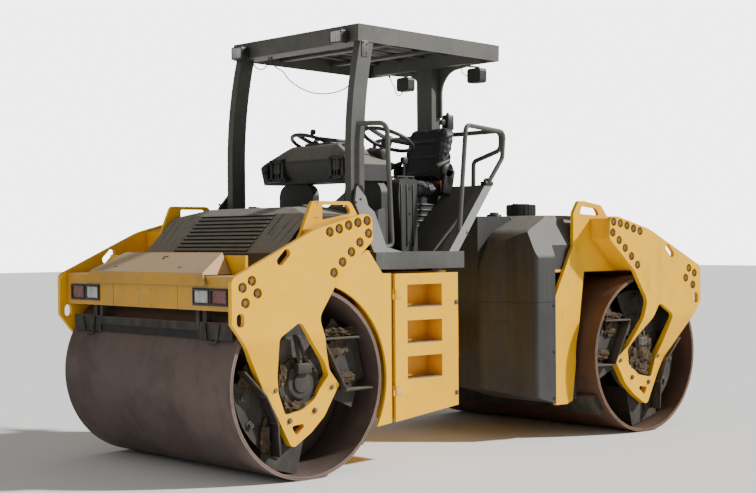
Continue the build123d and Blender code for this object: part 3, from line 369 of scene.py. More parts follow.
# Cast and welded steel inside the drums, black paint caked with dirt.
CASTING = Coat(
    "dirty_cast_steel", "34312C", "252320", "857660", "171310",
    roughness=0.7, metallic=0.1, patch_mm=180, grain_mm=8, dust_amount=0.75, grime_and_shade_amount=0.45,
    bump_mm=0.8, wear="7C7266", wear_amount=0.5,
)
# Hard-chromed cylinder rods.
CHROME = Coat(
    "chromed_rod", "8C8A86", "7A7875", "6A6258", "3A342E",
    roughness=0.2, metallic=1.0, patch_mm=200, grain_mm=3, dust_amount=0.15, grime_and_shade_amount=0.2,
    bump_mm=0.05,
)
# Zinc-plated bolts, dull and dusty.
ZINC = Coat(
    "dull_zinc_plate", "7A6850", "5C4E3E", "94816A", "33271C",
    roughness=0.5, metallic=0.4, patch_mm=60, grain_mm=3, dust_amount=0.5, grime_and_shade_amount=0.5, bump_mm=0.1,
    corner_mm=14,
)
# Moulded natural rubber blocks and scraper strips.
RUBBER = Coat(
    "moulded_rubber", "1F1E1C", "171614", "5A5244", "0E0D0B",
    roughness=0.75, metallic=0.0, patch_mm=160, grain_mm=4, dust_amount=0.5, grime_and_shade_amount=0.3, bump_mm=0.3,
)
# Extruded rubber jacket of the lamp cables.
JACKET = Coat(
    "rubber_cable_jacket", "232221", "191918", "4A453D", "0E0D0B",
    roughness=0.6, metallic=0.0, patch_mm=90, grain_mm=2, dust_amount=0.3, grime_and_shade_amount=0.2, bump_mm=0.05,
)
# Expanded vinyl of the seat, blue-black and worn matt.
VINYL = Coat(
    "seat_vinyl", "1E2026", "17181C", "55504A", "0D0D0F",
    roughness=0.5, metallic=0.0, patch_mm=150, grain_mm=2.5, dust_amount=0.3, grime_and_shade_amount=0.2,
    bump_mm=0.3, wear="4C4A48", wear_amount=0.4, wear_mm=18,
)
# Ribbed lamp glass over a bright reflector.
LENS = Coat(
    "ribbed_lamp_glass", "C9CACA", "A8A9A8", "9A9484", "5E584C",
    roughness=0.12, metallic=0.2, patch_mm=90, grain_mm=3, dust_amount=0.25, grime_and_shade_amount=0.2, bump_mm=1.2,
    corner_mm=12, clearcoat=0.6, ribs_mm=9,
)
# Red acrylic of the tail lamps.
RED_LENS = Coat(
    "red_acrylic_lens", "7A2E24", "62241D", "8A6A58", "33140F",
    roughness=0.2, metallic=0.0, patch_mm=90, grain_mm=3, dust_amount=0.3, grime_and_shade_amount=0.25, bump_mm=1.2,
    corner_mm=12, clearcoat=0.5, ribs_mm=9,
)
# Sun-baked clay and gravel caked inside the drum ends.
CLAY = Coat(
    "dried_clay", "574A3B", "3D3329", "75674F", "201812",
    roughness=0.95, metallic=0.0, patch_mm=45, grain_mm=4, dust_amount=0.35, grime_and_shade_amount=0.7, bump_mm=4.0,
    corner_mm=30, specular=0.1,
)
# Glass-filled nylon of knobs, levers and lamp shells.
NYLON = Coat(
    "black_nylon", "22221F", "1A1A18", "6A6458", "100F0D",
    roughness=0.45, metallic=0.0, patch_mm=120, grain_mm=3, dust_amount=0.4, grime_and_shade_amount=0.3, bump_mm=0.2,
    wear="5A564E", wear_amount=0.4, wear_mm=4,
)
# Ochre polyester webbing of the lap belt.
WEBBING = Coat(
    "belt_webbing", "8A4A22", "6E3A1C", "8F7A60", "2E1A0E",
    roughness=0.8, metallic=0.0, patch_mm=60, grain_mm=2, dust_amount=0.4, grime_and_shade_amount=0.3, bump_mm=0.5,
    ribs_mm=3,
)

BY_SLOT = {
    "yellow_paint": ENAMEL, "grey_paint": POWDER, "dark_plastic": MOULDED, "drum_steel": DRUM,
    "dark_steel": CASTING, "bare_steel": CHROME, "rubber": RUBBER, "seat_cover": VINYL,
    "white_lens": LENS, "red_lens": RED_LENS,
}
BY_NODE = {
    "rear_drum_shell": RUSTY_DRUM, "front_beam": SHADED_DUSTY_ENAMEL, "front_lid": SHADED_DUSTY_ENAMEL,
    "work_lamps": NYLON, "steering_wheels": NYLON, "roof_cable": JACKET, "roof_cable_short": JACKET,
    "lamp_lead_left": JACKET, "lamp_lead_right": JACKET, "tank_cap": NYLON,
}


class Paintshop:
    """Keeps one material for each finish."""

    def __init__(self) -> None:
        """Starts with no material made."""
        self.made: dict[str, bpy.types.Material] = {}

    def of(self, coat: Coat) -> bpy.types.Material:
        """Finds the finish's material, and makes it the first time it is asked for.

        Args:
            coat: the finish.

        Returns:
            Its material.
        """
        if coat.name not in self.made:
            self.made[coat.name] = coat.material()
        return self.made[coat.name]

    def dress_frame(self) -> None:
        """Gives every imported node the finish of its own, or of its slot."""
        slots = {row["node"]: row["material_slot"] for row in frame["record"]["subparts"]}
        for name, obj in frame["nodes"].items():
            coat = BY_NODE.get(name, BY_SLOT[slots[name]])
            obj.data.materials.clear()
            obj.data.materials.append(self.of(coat))
            LOG.info("node %s: %s", name, coat.name)


# ---- shapes ------------------------------------------------------------------------------------
@dataclass(frozen=True)
class Round:
    """A cylinder or cone: radius, length, flats round it, radius at the far end and bevel on its rims."""

    radius: float
    length: float
    sides: int = 20
    top: float | None = None
    bevel: float = 0.0


@dataclass(frozen=True)
class Hexagon:
    """A hexagon head: width across its flats, height and the radius of its washer."""

    across: float
    height: float
    washer: float = 0.0


@dataclass(frozen=True)
class Brick:
    """A box on the machine's left: its spans, the radius of its edges and how far it leans forward."""

    x: Pair
    y: Pair
    z: Pair
    bevel: float = 0.0
    lean: float = 0.0

    def corners(self) -> Iterable[Vector]:
        """Its lowest and its highest corner."""
        return (Vector(corner) for corner in zip(self.x, self.y, self.z))


class Solid:
    """A mesh being shaped, in millimetres in the shared frame, until it is finished in metres."""

    def __init__(self, name: str, coat: Coat, body: Body, shop: Paintshop) -> None:
        """Starts an empty mesh.

        Args:
            name: the finished piece's name.
            coat: its finish.
            body: the rigid body that it rides on.
            shop: where the finish's material is kept.
        """
        self.name, self.coat, self.body, self.shop = name, coat, body, shop
        self.bm = bmesh.new()

    def rod(self, centre: Sequence[float], axis: Sequence[float], shape: Round) -> None:
        """Adds a cylinder or cone about its middle.

        Args:
            centre: the middle of its length.
            axis: its direction.
            shape: its sizes.
        """
        turn = Vector(axis).to_track_quat("Z", "Y").to_matrix().to_4x4()
        made = bmesh.ops.create_cone(
            self.bm, cap_ends=True, cap_tris=False, segments=shape.sides, radius1=shape.radius,
            radius2=shape.radius if shape.top is None else shape.top, depth=shape.length,
            matrix=Matrix.Translation(Vector(centre)) @ turn,
        )["verts"]
        if shape.bevel:
            edges = {e for v in made for e in v.link_edges}
            rims = {e for e in edges if any(len(f.verts) == shape.sides for f in e.link_faces)}
            self.bevel(rims, shape.bevel, segments=1)

    def bevel(self, edges: Iterable[bmesh.types.BMEdge], offset: float, segments: int) -> None:
        """Rounds some edges.

        Args:
            edges: the edges.
            offset: how far the rounding reaches from each.
            segments: how many faces go round it.
        """
        bmesh.ops.bevel(
            self.bm, geom=list(edges), offset=offset, offset_type="OFFSET", affect="EDGES",
            segments=segments, profile=0.5, material=-1, clamp_overlap=True,
        )

    def block(self, low: Sequence[float], high: Sequence[float], round_mm: float = 0.0,
              turn: Matrix | None = None) -> None:
        """Adds a box between two corners, turned about its middle and with rounded edges.

        Args:
            low: its lowest corner.
            high: its highest corner.
            round_mm: the radius of its edges.
            turn: a rotation about its middle.
        """
        low, high = Vector(low), Vector(high)
        size = Matrix.Diagonal((*(high - low), 1.0))
        place = Matrix.Translation((low + high) / 2) @ (turn.to_4x4() if turn else Matrix.Identity(4)) @ size
        made = bmesh.ops.create_cube(self.bm, size=1.0, matrix=place)["verts"]
        if round_mm:
            self.bevel({e for v in made for e in v.link_edges}, round_mm, segments=2)

    def brick(self, shape: Brick, left: int = 1, out: float = 0.0, up: float = 0.0) -> None:
        """Adds a brick on either side of the machine.

        Args:
            shape: the brick.
            left: 1 for the left side, -1 for the right.
            out: how far it is moved out from the middle first.
            up: how far it is moved up.
        """
        low, high = sorted((left * (out + shape.y[0]), left * (out + shape.y[1])))
        self.block((shape.x[0], low, up + shape.z[0]), (shape.x[1], high, up + shape.z[1]), shape.bevel,
                   Matrix.Rotation(shape.lean, 3, Axis.Y.value) if shape.lean else None)

    def plate(self, outline: Sequence[Pair], y: Pair, round_mm: float) -> None:
        """Adds an upright plate: an outline drawn out across the machine.

        Args:
            outline: its corners, forward and up.
            y: where it starts and ends.
            round_mm: the bevel on its edges.
        """
        face = self.bm.faces.new([self.bm.verts.new((x, y[0], z)) for x, z in outline])
        grown = bmesh.ops.extrude_face_region(self.bm, geom=[face])["geom"]
        moved = [g for g in grown if isinstance(g, bmesh.types.BMVert)]
        bmesh.ops.translate(self.bm, verts=moved, vec=(0, y[1] - y[0], 0))
        self.bevel({e for v in moved for e in v.link_edges}, round_mm, segments=2)

    def swept(self, corners: Sequence[Vector], angle: float, steps: int) -> None:
        """Adds a bar: a four-cornered face spun about the front axle.

        Args:
            corners: the face's corners, in order.
            angle: how far it turns, in radians.
            steps: how many times it is drawn on the way.
        """
        face = self.bm.faces.new([self.bm.verts.new(corner) for corner in corners])
        bmesh.ops.spin(self.bm, geom=[face, *face.edges, *face.verts], cent=AXLE, axis=Vector((0, -1, 0)),
                       angle=angle, steps=steps, use_merge=False, use_duplicate=False)

    def lump(self, centre: Sequence[float], size: Sequence[float], seed: float, rough: float) -> None:
        """Adds an irregular lump of dirt.

        Args:
            centre: its middle.
            size: its half sizes.
            seed: shifts the noise, so that no two lumps are alike.
            rough: how deep the hollows are, as a share of its size.
        """
        made = bmesh.ops.create_icosphere(self.bm, subdivisions=3, radius=1.0)["verts"]
        for vert in made:
            shift = noise.fractal(vert.co * LUMP_HOLLOWS + Vector((seed, seed * 2.3, -seed)), *LUMP_NOISE)
            vert.co *= 1 + rough * shift
        bmesh.ops.scale(self.bm, vec=Vector(size), verts=made)
        bmesh.ops.translate(self.bm, vec=Vector(centre), verts=made)

    def bolt(self, centre: Sequence[float], axis: Sequence[float], head: Hexagon) -> None:
        """Adds a hexagon head on its washer, standing out along the axis from centre.

        Args:
            centre: where it stands.
            axis: its direction.
            head: its sizes.
        """
        out = Vector(axis).normalized()
        base = Vector(centre)
        if head.washer:
            washer = Round(radius=head.washer, length=head.height * WASHER_THICK, sides=16)
            self.rod(base + out * head.height * WASHER_MIDDLE, out, washer)
            base = base + out * head.height * HEAD_FOOT
        corner = head.across / math.sqrt(3)
        self.rod(base + out * head.height / 2, out,
                 Round(radius=corner, length=head.height, sides=6, top=corner * HEAD_TAPER))

    def mirrored(self) -> None:
        """Adds the mirror image on the machine's other side."""
        bmesh.ops.mirror(self.bm, geom=self.bm.verts[:] + self.bm.edges[:] + self.bm.faces[:],
                         matrix=Matrix.Identity(4), merge_dist=0.0, axis=Axis.Y.value)

    def moved_to(self, forward: int, left: int) -> None:
        """Flips what was shaped at the front left to another corner of the machine.

        Args:
            forward: 1 for the front, -1 for the rear.
            left: 1 for the left, -1 for the right.
        """
        bmesh.ops.scale(self.bm, vec=Vector((forward, left, 1)), verts=self.bm.verts[:])

    def done(self, sharp_deg: float = 32.0) -> None:
        """Finishes the piece: outward faces, metres, smooth shading between sharp edges, finish and body.

        Args:
            sharp_deg: edges that turn more than this stay sharp.
        """
        bm = self.bm
        bmesh.ops.recalc_face_normals(bm, faces=bm.faces[:])
        bmesh.ops.scale(bm, vec=Vector((MM, MM, MM)), verts=bm.verts[:])
        for item in bm.faces:
            item.smooth = True
        for item in bm.edges:
            item.smooth = len(item.link_faces) == 2 and item.calc_face_angle(0.0) < math.radians(sharp_deg)
        mesh = bpy.data.meshes.new(self.name)
        bm.to_mesh(mesh)
        bm.free()
        place_piece(self.name, mesh, self.coat, self.body, self.shop)


def place_piece(name: str, data: bpy.types.ID, coat: Coat, body: Body, shop: Paintshop,
                stands_for: Sequence[str] = ()) -> bpy.types.Object:
    """Makes an object of a mesh or curve, with its finish, on its body.

    Args:
        name: the piece's name.
        data: its mesh or curve.
        coat: its finish.
        body: the rigid body that it rides on.
        shop: where materials are kept.
        stands_for: CAD nodes that it replaces.

    Returns:
        The object.
    """
    obj = bpy.data.objects.new(name, data)
    bpy.context.scene.collection.objects.link(obj)
    data.materials.append(shop.of(coat))
    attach(obj, body.value)
    if stands_for:
        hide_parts(*stands_for)
    count = len(data.polygons) if isinstance(data, bpy.types.Mesh) else len(data.splines)
    LOG.info("piece %s: %s on %s, %d faces or splines", name, coat.name, body.value, count)
    return obj


# ---- fittings ----------------------------------------------------------------------------------
ENDS = {"front": 1, "rear": -1}
SIDES = {"left": 1, "right": -1}
BOTH = tuple(SIDES.values())
AXLE = Vector((1690.0, 0.0, 610.0))


def frame_of(end: str) -> Body:
    """The frame body at an end of the machine."""
    return Body.FRONT if end == "front" else Body.REAR


@dataclass
class ArmFasteners:
    """Hexagon bolts in the arms' recesses, and the smaller ones on the ring below each opening.

    Places are forward of the axle and up from it; a plug also has its height out from the middle.
    """

    rows: tuple[Pair, ...] = (
        (-450, 1032), (-371, 1020), (-293, 1003), (-214, 980), (-136, 960),
        (-462, 950), (-387, 892), (-315, 831), (-240, 767), (-168, 700),
        (480, 663), (551, 623), (438, 586), (530, 529),
    )
    recess_y: float = 1031.0
    bolt: Hexagon = Hexagon(across=31.0, height=17, washer=21.0)
    stub_out: float = 20.0
    stub: Round = Round(radius=8, length=4, sides=12)
    ring: tuple[Pair, ...] = ((-239, -40), (-96, -183), (106, -233), (221, -30))
    ring_y: float = 935.0
    ring_bolt: Hexagon = Hexagon(across=24, height=13, washer=19)
    plugs: tuple[Point, ...] = ((223, 703, 1054), (-189, -157, 934))
    plug: Round = Round(radius=7, length=1.6, sides=12)

    def build(self, shop: Paintshop) -> None:
        """Makes one piece of bolts for each arm.

        Args:
            shop: where the finish is kept.
        """
        for end, forward in ENDS.items():
            for side, left in SIDES.items():
                self.arm(f"{end}_arm_{side}_bolts", frame_of(end), forward, left, shop)

    def arm(self, name: str, body: Body, forward: int, left: int, shop: Paintshop) -> None:
        """Makes the bolts of one arm.

        Args:
            name: the piece's name.
            body: the frame that the arm belongs to.
            forward: 1 at the front, -1 at the rear.
            left: 1 on the left, -1 on the right.
            shop: where the finish is kept.
        """
        solid = Solid(name, ZINC, body, shop)
        out = Vector((0, left, 0))
        for x, z in self.rows:
            at = Vector((forward * (AXLE.x + x), left * self.recess_y, AXLE.z + z))
            solid.bolt(at, out, self.bolt)
            solid.rod(at + out * self.stub_out, out, self.stub)
        for x, z in self.ring:
            solid.bolt((forward * (AXLE.x + x), left * self.ring_y, AXLE.z + z), out, self.ring_bolt)
        for x, z, y in self.plugs:
            solid.rod((forward * (AXLE.x + x), left * y, AXLE.z + z), out, self.plug)
        solid.done()


@dataclass
class DrumEnd:
    """The fixed support beside each arm inside a drum's end: lobed plate, two channels, motor cover and clay.

    Places are given from the axle.
    """

    lobe_y: Pair = (862.0, 874.0)
    hub: float = 90.0
    reach: float = 495.0
    half_deg: float = 38.0
    lobe_steps: int = 14
    lobes: tuple[float, ...] = (165.0, 325.0, 75.0)
    channels: tuple[tuple[Pair, ...], ...] = (
        ((-442, 273), (-150, 270), (-343, -70), (-555, -65)),
        ((471, 98), (310, -60), (222, -235), (208, -445)),
    )
    channel_out: float = 972.0
    leaf: float = 12.0
    leaf_bevel: float = 2.5
    bolt_radius: float = 445.0
    bolts_deg: tuple[float, ...] = (133, 155, 178, 351, 327, 303, 62, 88)
    bolt: Hexagon = Hexagon(across=30, height=16)
    pad: Brick = Brick(x=(-26, 26), y=(0, 7), z=(-26, 26), bevel=3)
    cover_discs: tuple[tuple[float, Round], ...] = (
        (888, Round(radius=165, length=20, sides=40, bevel=4)),
        (908, Round(radius=112, length=26, sides=36, top=100, bevel=4)),
        (926, Round(radius=62, length=14, sides=28, bevel=3)),
    )
    cover_bolts: int = 10
    cover_bolt_circle: float = 140.0
    cover_bolt_y: float = 898.0
    cover_bolt: Hexagon = Hexagon(across=19, height=11, washer=13)
    port_block: Brick = Brick(x=(-52, 58), y=(915, 968), z=(62, 128), bevel=6)
    pipes: tuple[Pair, ...] = ((-25, 0.32), (30, 0.1))  # forward, and how far it leans that way
    pipe_start: Pair = (945.0, 128.0)
    pipe_fall: float = -0.15
    nut: tuple[float, Round] = (22, Round(radius=17, length=44, sides=6))
    pipe: tuple[float, Round] = (110, Round(radius=12, length=150, sides=14))
    heaps: tuple[tuple[Point, Point], ...] = (
        ((-365, 905, 300), (85, 30, 34)), ((-262, 900, 297), (70, 26, 30)), ((-300, 892, 215), (70, 16, 60)),
        ((-395, 890, 10), (80, 16, 34)), ((395, 890, 60), (60, 16, 80)), ((268, 890, -330), (36, 16, 90)),
        ((60, 905, -150), (70, 20, 40)), ((-60, 900, -160), (80, 20, 34)), ((140, 900, 60), (34, 18, 60)),
    )
    rear_heaps: tuple[tuple[Point, Point], ...] = (
        ((-20, 925, 20), (96, 36, 90)), ((62, 930, -20), (70, 32, 62)), ((-74, 925, -44), (66, 30, 60)),
        ((8, 938, 96), (62, 28, 50)), ((-50, 930, 130), (50, 26, 44)), ((90, 920, 90), (44, 26, 56)),
        ((20, 930, -104), (86, 28, 40)), ((-130, 905, 60), (44, 22, 70)),
    )
    heap_rough: float = 0.7
    heap_seeds: tuple[float, float, float, float] = (3.1, 1.7, 0.9, 1.37)  # start, by end, by side, by heap

    def build(self, shop: Paintshop) -> None:
        """Makes the four supports with their covers and dirt.

        Args:
            shop: where finishes are kept.
        """
        for end, forward in ENDS.items():
            for side, left in SIDES.items():
                for part, coat, make in (
                    ("support", CASTING, self.support), ("motor", CASTING, self.cover),
                    ("clay", CLAY, partial(self.clay, forward=forward, left=left)),
                ):
                    solid = Solid(f"{end}_{part}_{side}", coat, frame_of(end), shop)
                    make(solid)
                    solid.moved_to(forward, left)
                    solid.done()

    def support(self, solid: Solid) -> None:
        """Adds the lobed plate, the channels standing out of it and their bolts.

        Args:
            solid: the mesh, at the front left.
        """
        for angle in self.lobes:
            start = math.radians(angle - self.half_deg)
            along = Vector((math.cos(start), 0, math.sin(start)))
            near, far = AXLE + along * self.hub, AXLE + along * self.reach
            low, high = (Vector((0, y, 0)) for y in self.lobe_y)
            solid.swept((near + low, far + low, far + high, near + high), math.radians(2 * self.half_deg),
                        self.lobe_steps)
        for corners in self.channels:
            for start, end in zip(corners, corners[1:]):
                self.leaf_between(solid, start, end)
        for angle in self.bolts_deg:
            turn = math.radians(angle)
            at = Vector((AXLE.x + self.bolt_radius * math.cos(turn), self.lobe_y[1],
                         AXLE.z + self.bolt_radius * math.sin(turn)))
            low, high = self.pad.corners()
            solid.block(at + low, at + high, self.pad.bevel, Matrix.Rotation(-turn, 3, Axis.Y.value))
            solid.bolt(at + Vector((0, self.pad.y[1], 0)), ACROSS, self.bolt)

    def leaf_between(self, solid: Solid, start: Pair, end: Pair) -> None:
        """Adds one flat plate of a channel.

        Args:
            solid: the mesh.
            start: where the plate starts, forward of the axle and up from it.
            end: where it ends.
        """
        a, b = Vector((start[0], 0, start[1])), Vector((end[0], 0, end[1]))
        middle = AXLE + (a + b) / 2 + Vector((0, (self.lobe_y[1] + self.channel_out) / 2, 0))
        size = Vector(((b - a).length + self.leaf, self.channel_out - self.lobe_y[1], self.leaf)) / 2
        turn = Matrix.Rotation(-math.atan2(b.z - a.z, b.x - a.x), 3, Axis.Y.value)
        solid.block(middle - size, middle + size, self.leaf_bevel, turn)

    def cover(self, solid: Solid) -> None:
        """Adds the drive motor's end cover, port block and rigid pipes, seen through the arm's opening.

        Args:
            solid: the mesh, at the front left.
        """
        for y, disc in self.cover_discs:
            solid.rod(AXLE + Vector((0, y, 0)), ACROSS, disc)
        for step in range(self.cover_bolts):
            turn = math.tau * step / self.cover_bolts
            around = Vector((self.cover_bolt_circle * math.cos(turn), self.cover_bolt_y,
                             self.cover_bolt_circle * math.sin(turn)))
            solid.bolt(AXLE + around, ACROSS, self.cover_bolt)
        low, high = self.port_block.corners()
        solid.block(AXLE + low, AXLE + high, self.port_block.bevel)
        for x, tilt in self.pipes:
            way = Vector((tilt, self.pipe_fall, 1)).normalized()
            for along, shape in (self.nut, self.pipe):
                solid.rod(AXLE + Vector((x, *self.pipe_start)) + way * along, way, shape)

    def clay(self, solid: Solid, forward: int, left: int) -> None:
        """Adds the clay caked on the channels and, at the rear, all over the motor.

        It is kept out past the lobed plate's inner face, clear of the drum that turns behind.

        Args:
            solid: the mesh, at the front left.
            forward: 1 if it goes to the front, -1 to the rear.
            left: 1 if it goes to the left, -1 to the right.
        """
        start, by_end, by_side, by_heap = self.heap_seeds
        seed = start + forward * by_end + left * by_side
        heaps = self.heaps if forward > 0 else self.heaps + self.rear_heaps
        for index, (spot, size) in enumerate(heaps):
            solid.lump(AXLE + Vector(spot), size, seed + index * by_heap, self.heap_rough)
        for vert in solid.bm.verts:
            vert.co.y = max(vert.co.y, self.lobe_y[0] + 1)


@dataclass
class LowerScraper:
    """Bar at each drum's inner side, on hangers below the side plates."""

    radius: Pair = (617.0, 660.0)
    sweep_deg: Pair = (208.0, 222.0)
    steps: int = 6
    half: float = 945.0
    hanger: Brick = Brick(x=(1010, 1050), y=(812, 838), z=(292, 430), bevel=3)

    def build(self, shop: Paintshop) -> None:
        """Makes both bars.

        Args:
            shop: where the finish is kept.
        """
        for end, forward in ENDS.items():
            solid = Solid(f"{end}_lower_scraper", CASTING, frame_of(end), shop)
            start, stop = (math.radians(angle) for angle in self.sweep_deg)
            along = Vector((math.cos(start), 0, math.sin(start)))
            inner, outer = (AXLE + along * radius for radius in self.radius)
            side = Vector((0, self.half, 0))
            solid.swept((inner - side, inner + side, outer + side, outer - side), stop - start, self.steps)
            for left in BOTH:
                solid.brick(self.hanger, left)
            if forward < 0:
                solid.moved_to(forward, 1)
            solid.done()


@dataclass
class Lamps:
    """Bezels of the head and tail lamps, and the frames and cooling fins of the work lamps."""

    face_x: float = 2276.0
    spans: tuple[Pair, ...] = ((575.0, 745.0), (765.0, 940.0))
    height: Pair = (1123.0, 1217.0)
    lip: float = 9.0
    beside: float = 4.0
    above: float = 5.0
    depth: Pair = (-14.0, 6.0)
    bevel: float = 4.0
    work_lamps: tuple[tuple[float, int, float, float], ...] = (  # glass, way it looks, middle, height
        (1098.0, 1, 573.0, 2905.0), (-470.0, -1, 400.0, 2755.0),
    )
    fins: tuple[float, ...] = (-46, -23, 0, 23, 46)
    fin_half: Pair = (3.0, 30.0)
    fin_behind: Pair = (57.0, 44.0)
    fin_bevel: float = 2.0
    bars: tuple[tuple[float, float, float, float], ...] = (
        (-63, -54, -45, 45), (54, 63, -45, 45), (-60, 60, -45, -37), (-60, 60, 37, 45),
    )
    bar_depth: Pair = (-10.0, 0.5)
    bar_bevel: float = 3.0

    def build(self, shop: Paintshop) -> None:
        """Makes the bezels at both ends and the work lamps' frames.

        Args:
            shop: where the finish is kept.
        """
        for end, forward in ENDS.items():
            solid = Solid(f"{end}_lamp_bezels", NYLON, frame_of(end), shop)
            for low, high in self.spans:
                self.bezel(solid, low, high)
            solid.mirrored()
            if forward < 0:
                solid.moved_to(forward, 1)
            solid.done()
        solid = Solid("work_lamp_frames", NYLON, Body.FRONT, shop)
        for left in BOTH:
            for x, out, y, z in self.work_lamps:
                self.work_lamp(solid, x, out, left * y, z)
        solid.done()

    def bezel(self, solid: Solid, low: float, high: float) -> None:
        """Adds a rounded frame of four bars round a lens.

        Args:
            solid: the mesh.
            low: the lens's inner side.
            high: its outer side.
        """
        (bottom, top), lip, beside, above = self.height, self.lip, self.beside, self.above
        for y0, y1, z0, z1 in (
            (low - beside, low + lip, bottom - above, top + above),
            (high - lip, high + beside, bottom - above, top + above),
            (low, high, bottom - above, bottom + lip), (low, high, top - lip, top + above),
        ):
            solid.block((self.face_x + self.depth[0], y0, z0), (self.face_x + self.depth[1], y1, z1), self.bevel)

    def work_lamp(self, solid: Solid, x: float, out: int, y: float, z: float) -> None:
        """Adds a work lamp's frame and cooling fins.

        Args:
            solid: the mesh.
            x: where the glass is.
            out: 1 if it looks forward, -1 if it looks back.
            y: the lamp's middle.
            z: the lamp's height.
        """
        half, high = self.fin_half
        a, b = sorted(x - out * behind for behind in self.fin_behind)
        for dy in self.fins:
            solid.block((a, y + dy - half, z - high), (b, y + dy + half, z + high), self.fin_bevel)
        a, b = sorted(x + out * depth for depth in self.bar_depth)
        for y0, y1, z0, z1 in self.bars:
            solid.block((a, y + y0, z + z0), (b, y + y1, z + z1), self.bar_bevel)


@dataclass
class StepDoors:
    """Hinge straps, latch pins and non-slip treads of the two doors beside the operator's steps."""

    face_y: float = 1030.0
    hinge_z: tuple[float, ...] = (515.0, 1155.0)
    strap: Brick = Brick(x=(918, 972), y=(-1, 4), z=(-34, 34), bevel=2)
    rivets: tuple[Pair, ...] = ((933, -22), (933, 22), (955, -22), (955, 22))
    rivet_out: float = 5.0
    rivet: Round = Round(radius=6, length=5, sides=12, top=4.5)
    pocket_floors: tuple[float, ...] = (1067.0, 826.0, 588.0)
    nosing: Brick = Brick(x=(551, 869), y=(-6, 3), z=(-1, 5), bevel=1.5)
    treads: int = 9
    tread_from: float = 572.0
    tread_pitch: float = 34.0
    tread: Brick = Brick(x=(0, 8), y=(912, 1018), z=(0, 7), bevel=1.5)
    latch_z: tuple[float, ...] = (1086, 464)
    latch_at: Pair = (415.0, 6.0)
    latch: Round = Round(radius=11, length=12, sides=16, top=9)
    latch_plate: Brick = Brick(x=(399, 431), y=(0, 3), z=(-16, 16), bevel=1.5)

    def build(self, shop: Paintshop) -> None:
        """Makes both doors' fittings.

        Args:
            shop: where finishes are kept.
        """
        for side, left in SIDES.items():
            body = Body.DOOR_LEFT if left > 0 else Body.DOOR_RIGHT
            straps = Solid(f"step_door_{side}_straps", ENAMEL, body, shop)
            treads = Solid(f"step_door_{side}_treads", ZINC, body, shop)
            for z in self.hinge_z:
                straps.brick(self.strap, out=self.face_y, up=z)
                for x, dz in self.rivets:
                    straps.rod((x, self.face_y + self.rivet_out, z + dz), ACROSS, self.rivet)
            for floor in self.pocket_floors:
                treads.brick(self.nosing, out=self.face_y, up=floor)
                for index in range(self.treads):
                    x = self.tread_from + index * self.tread_pitch
                    low, high = self.tread.corners()
                    at = Vector((x, 0, floor))
                    treads.block(at + low, at + high, self.tread.bevel)
            for z in self.latch_z:
                treads.rod((self.latch_at[0], self.face_y + self.latch_at[1], z), ACROSS, self.latch)
                treads.brick(self.latch_plate, out=self.face_y, up=z)
            for solid in (straps, treads):
                solid.moved_to(1, left)
                solid.done()


@dataclass
class Covers:
    """Fittings on the engine hood and on the front lid."""

    latch: Brick = Brick(x=(1740, 1775), y=(700, 770), z=(1352, 1420), bevel=8)
    latch_pin_at: Point = (1772.0, 735.0, 1386.0)
    latch_pin: Round = Round(radius=16, length=12, sides=20, top=13)
    ridge: Brick = Brick(x=(1120, 1190), y=(300, 318), z=(1748, 1764), bevel=4)
    slope_deg: float = 45.2
    screen_middle: Point = (1615.0, 0.0, 1555.0)
    wires: int = 26
    wire_from: float = -410.0
    wire_pitch: float = 33.0
    wire_half: Point = (180.0, 1.5, 1.5)
    lid_latch: Brick = Brick(x=(2096, 2130), y=(-28, 28), z=(1398, 1406), bevel=3, lean=0.5)
    lid_pin_at: Point = (2113.0, 0.0, 1408.0)
    lid_slope: Point = (0.48, 0.0, 0.88)
    lid_pin: Round = Round(radius=12, length=10, sides=16, top=9)
    hinge_pins_at: tuple[Point, ...] = ((2222, -449, 1342), (2222, 333, 1342))
    hinge_pin: Round = Round(radius=5, length=30, sides=12)

    def build(self, shop: Paintshop) -> None:
        """Makes the hood's latches, ridge and slotted insect screen, and the lid's latch.

        Args:
            shop: where finishes are kept.
        """
        hood = Solid("engine_hood_fittings", NYLON, Body.HOOD, shop)
        x, y, z = self.latch_pin_at
        for left in BOTH:
            hood.brick(self.latch, left)
            hood.rod((x, left * y, z), AHEAD, self.latch_pin)
            hood.brick(self.ridge, left)
        slope = Matrix.Rotation(math.radians(self.slope_deg), 3, Axis.Y.value)
        half = Vector(self.wire_half)
        for index in range(self.wires):
            middle = Vector(self.screen_middle) + Vector((0, self.wire_from + index * self.wire_pitch, 0))
            hood.block(middle - half, middle + half, turn=slope)
        hood.done()
        lid = Solid("front_lid_fittings", ZINC, Body.LID, shop)
        lid.brick(self.lid_latch)
        lid.rod(self.lid_pin_at, self.lid_slope, self.lid_pin)
        for at in self.hinge_pins_at:
            lid.rod(at, ACROSS, self.hinge_pin)
        lid.done()


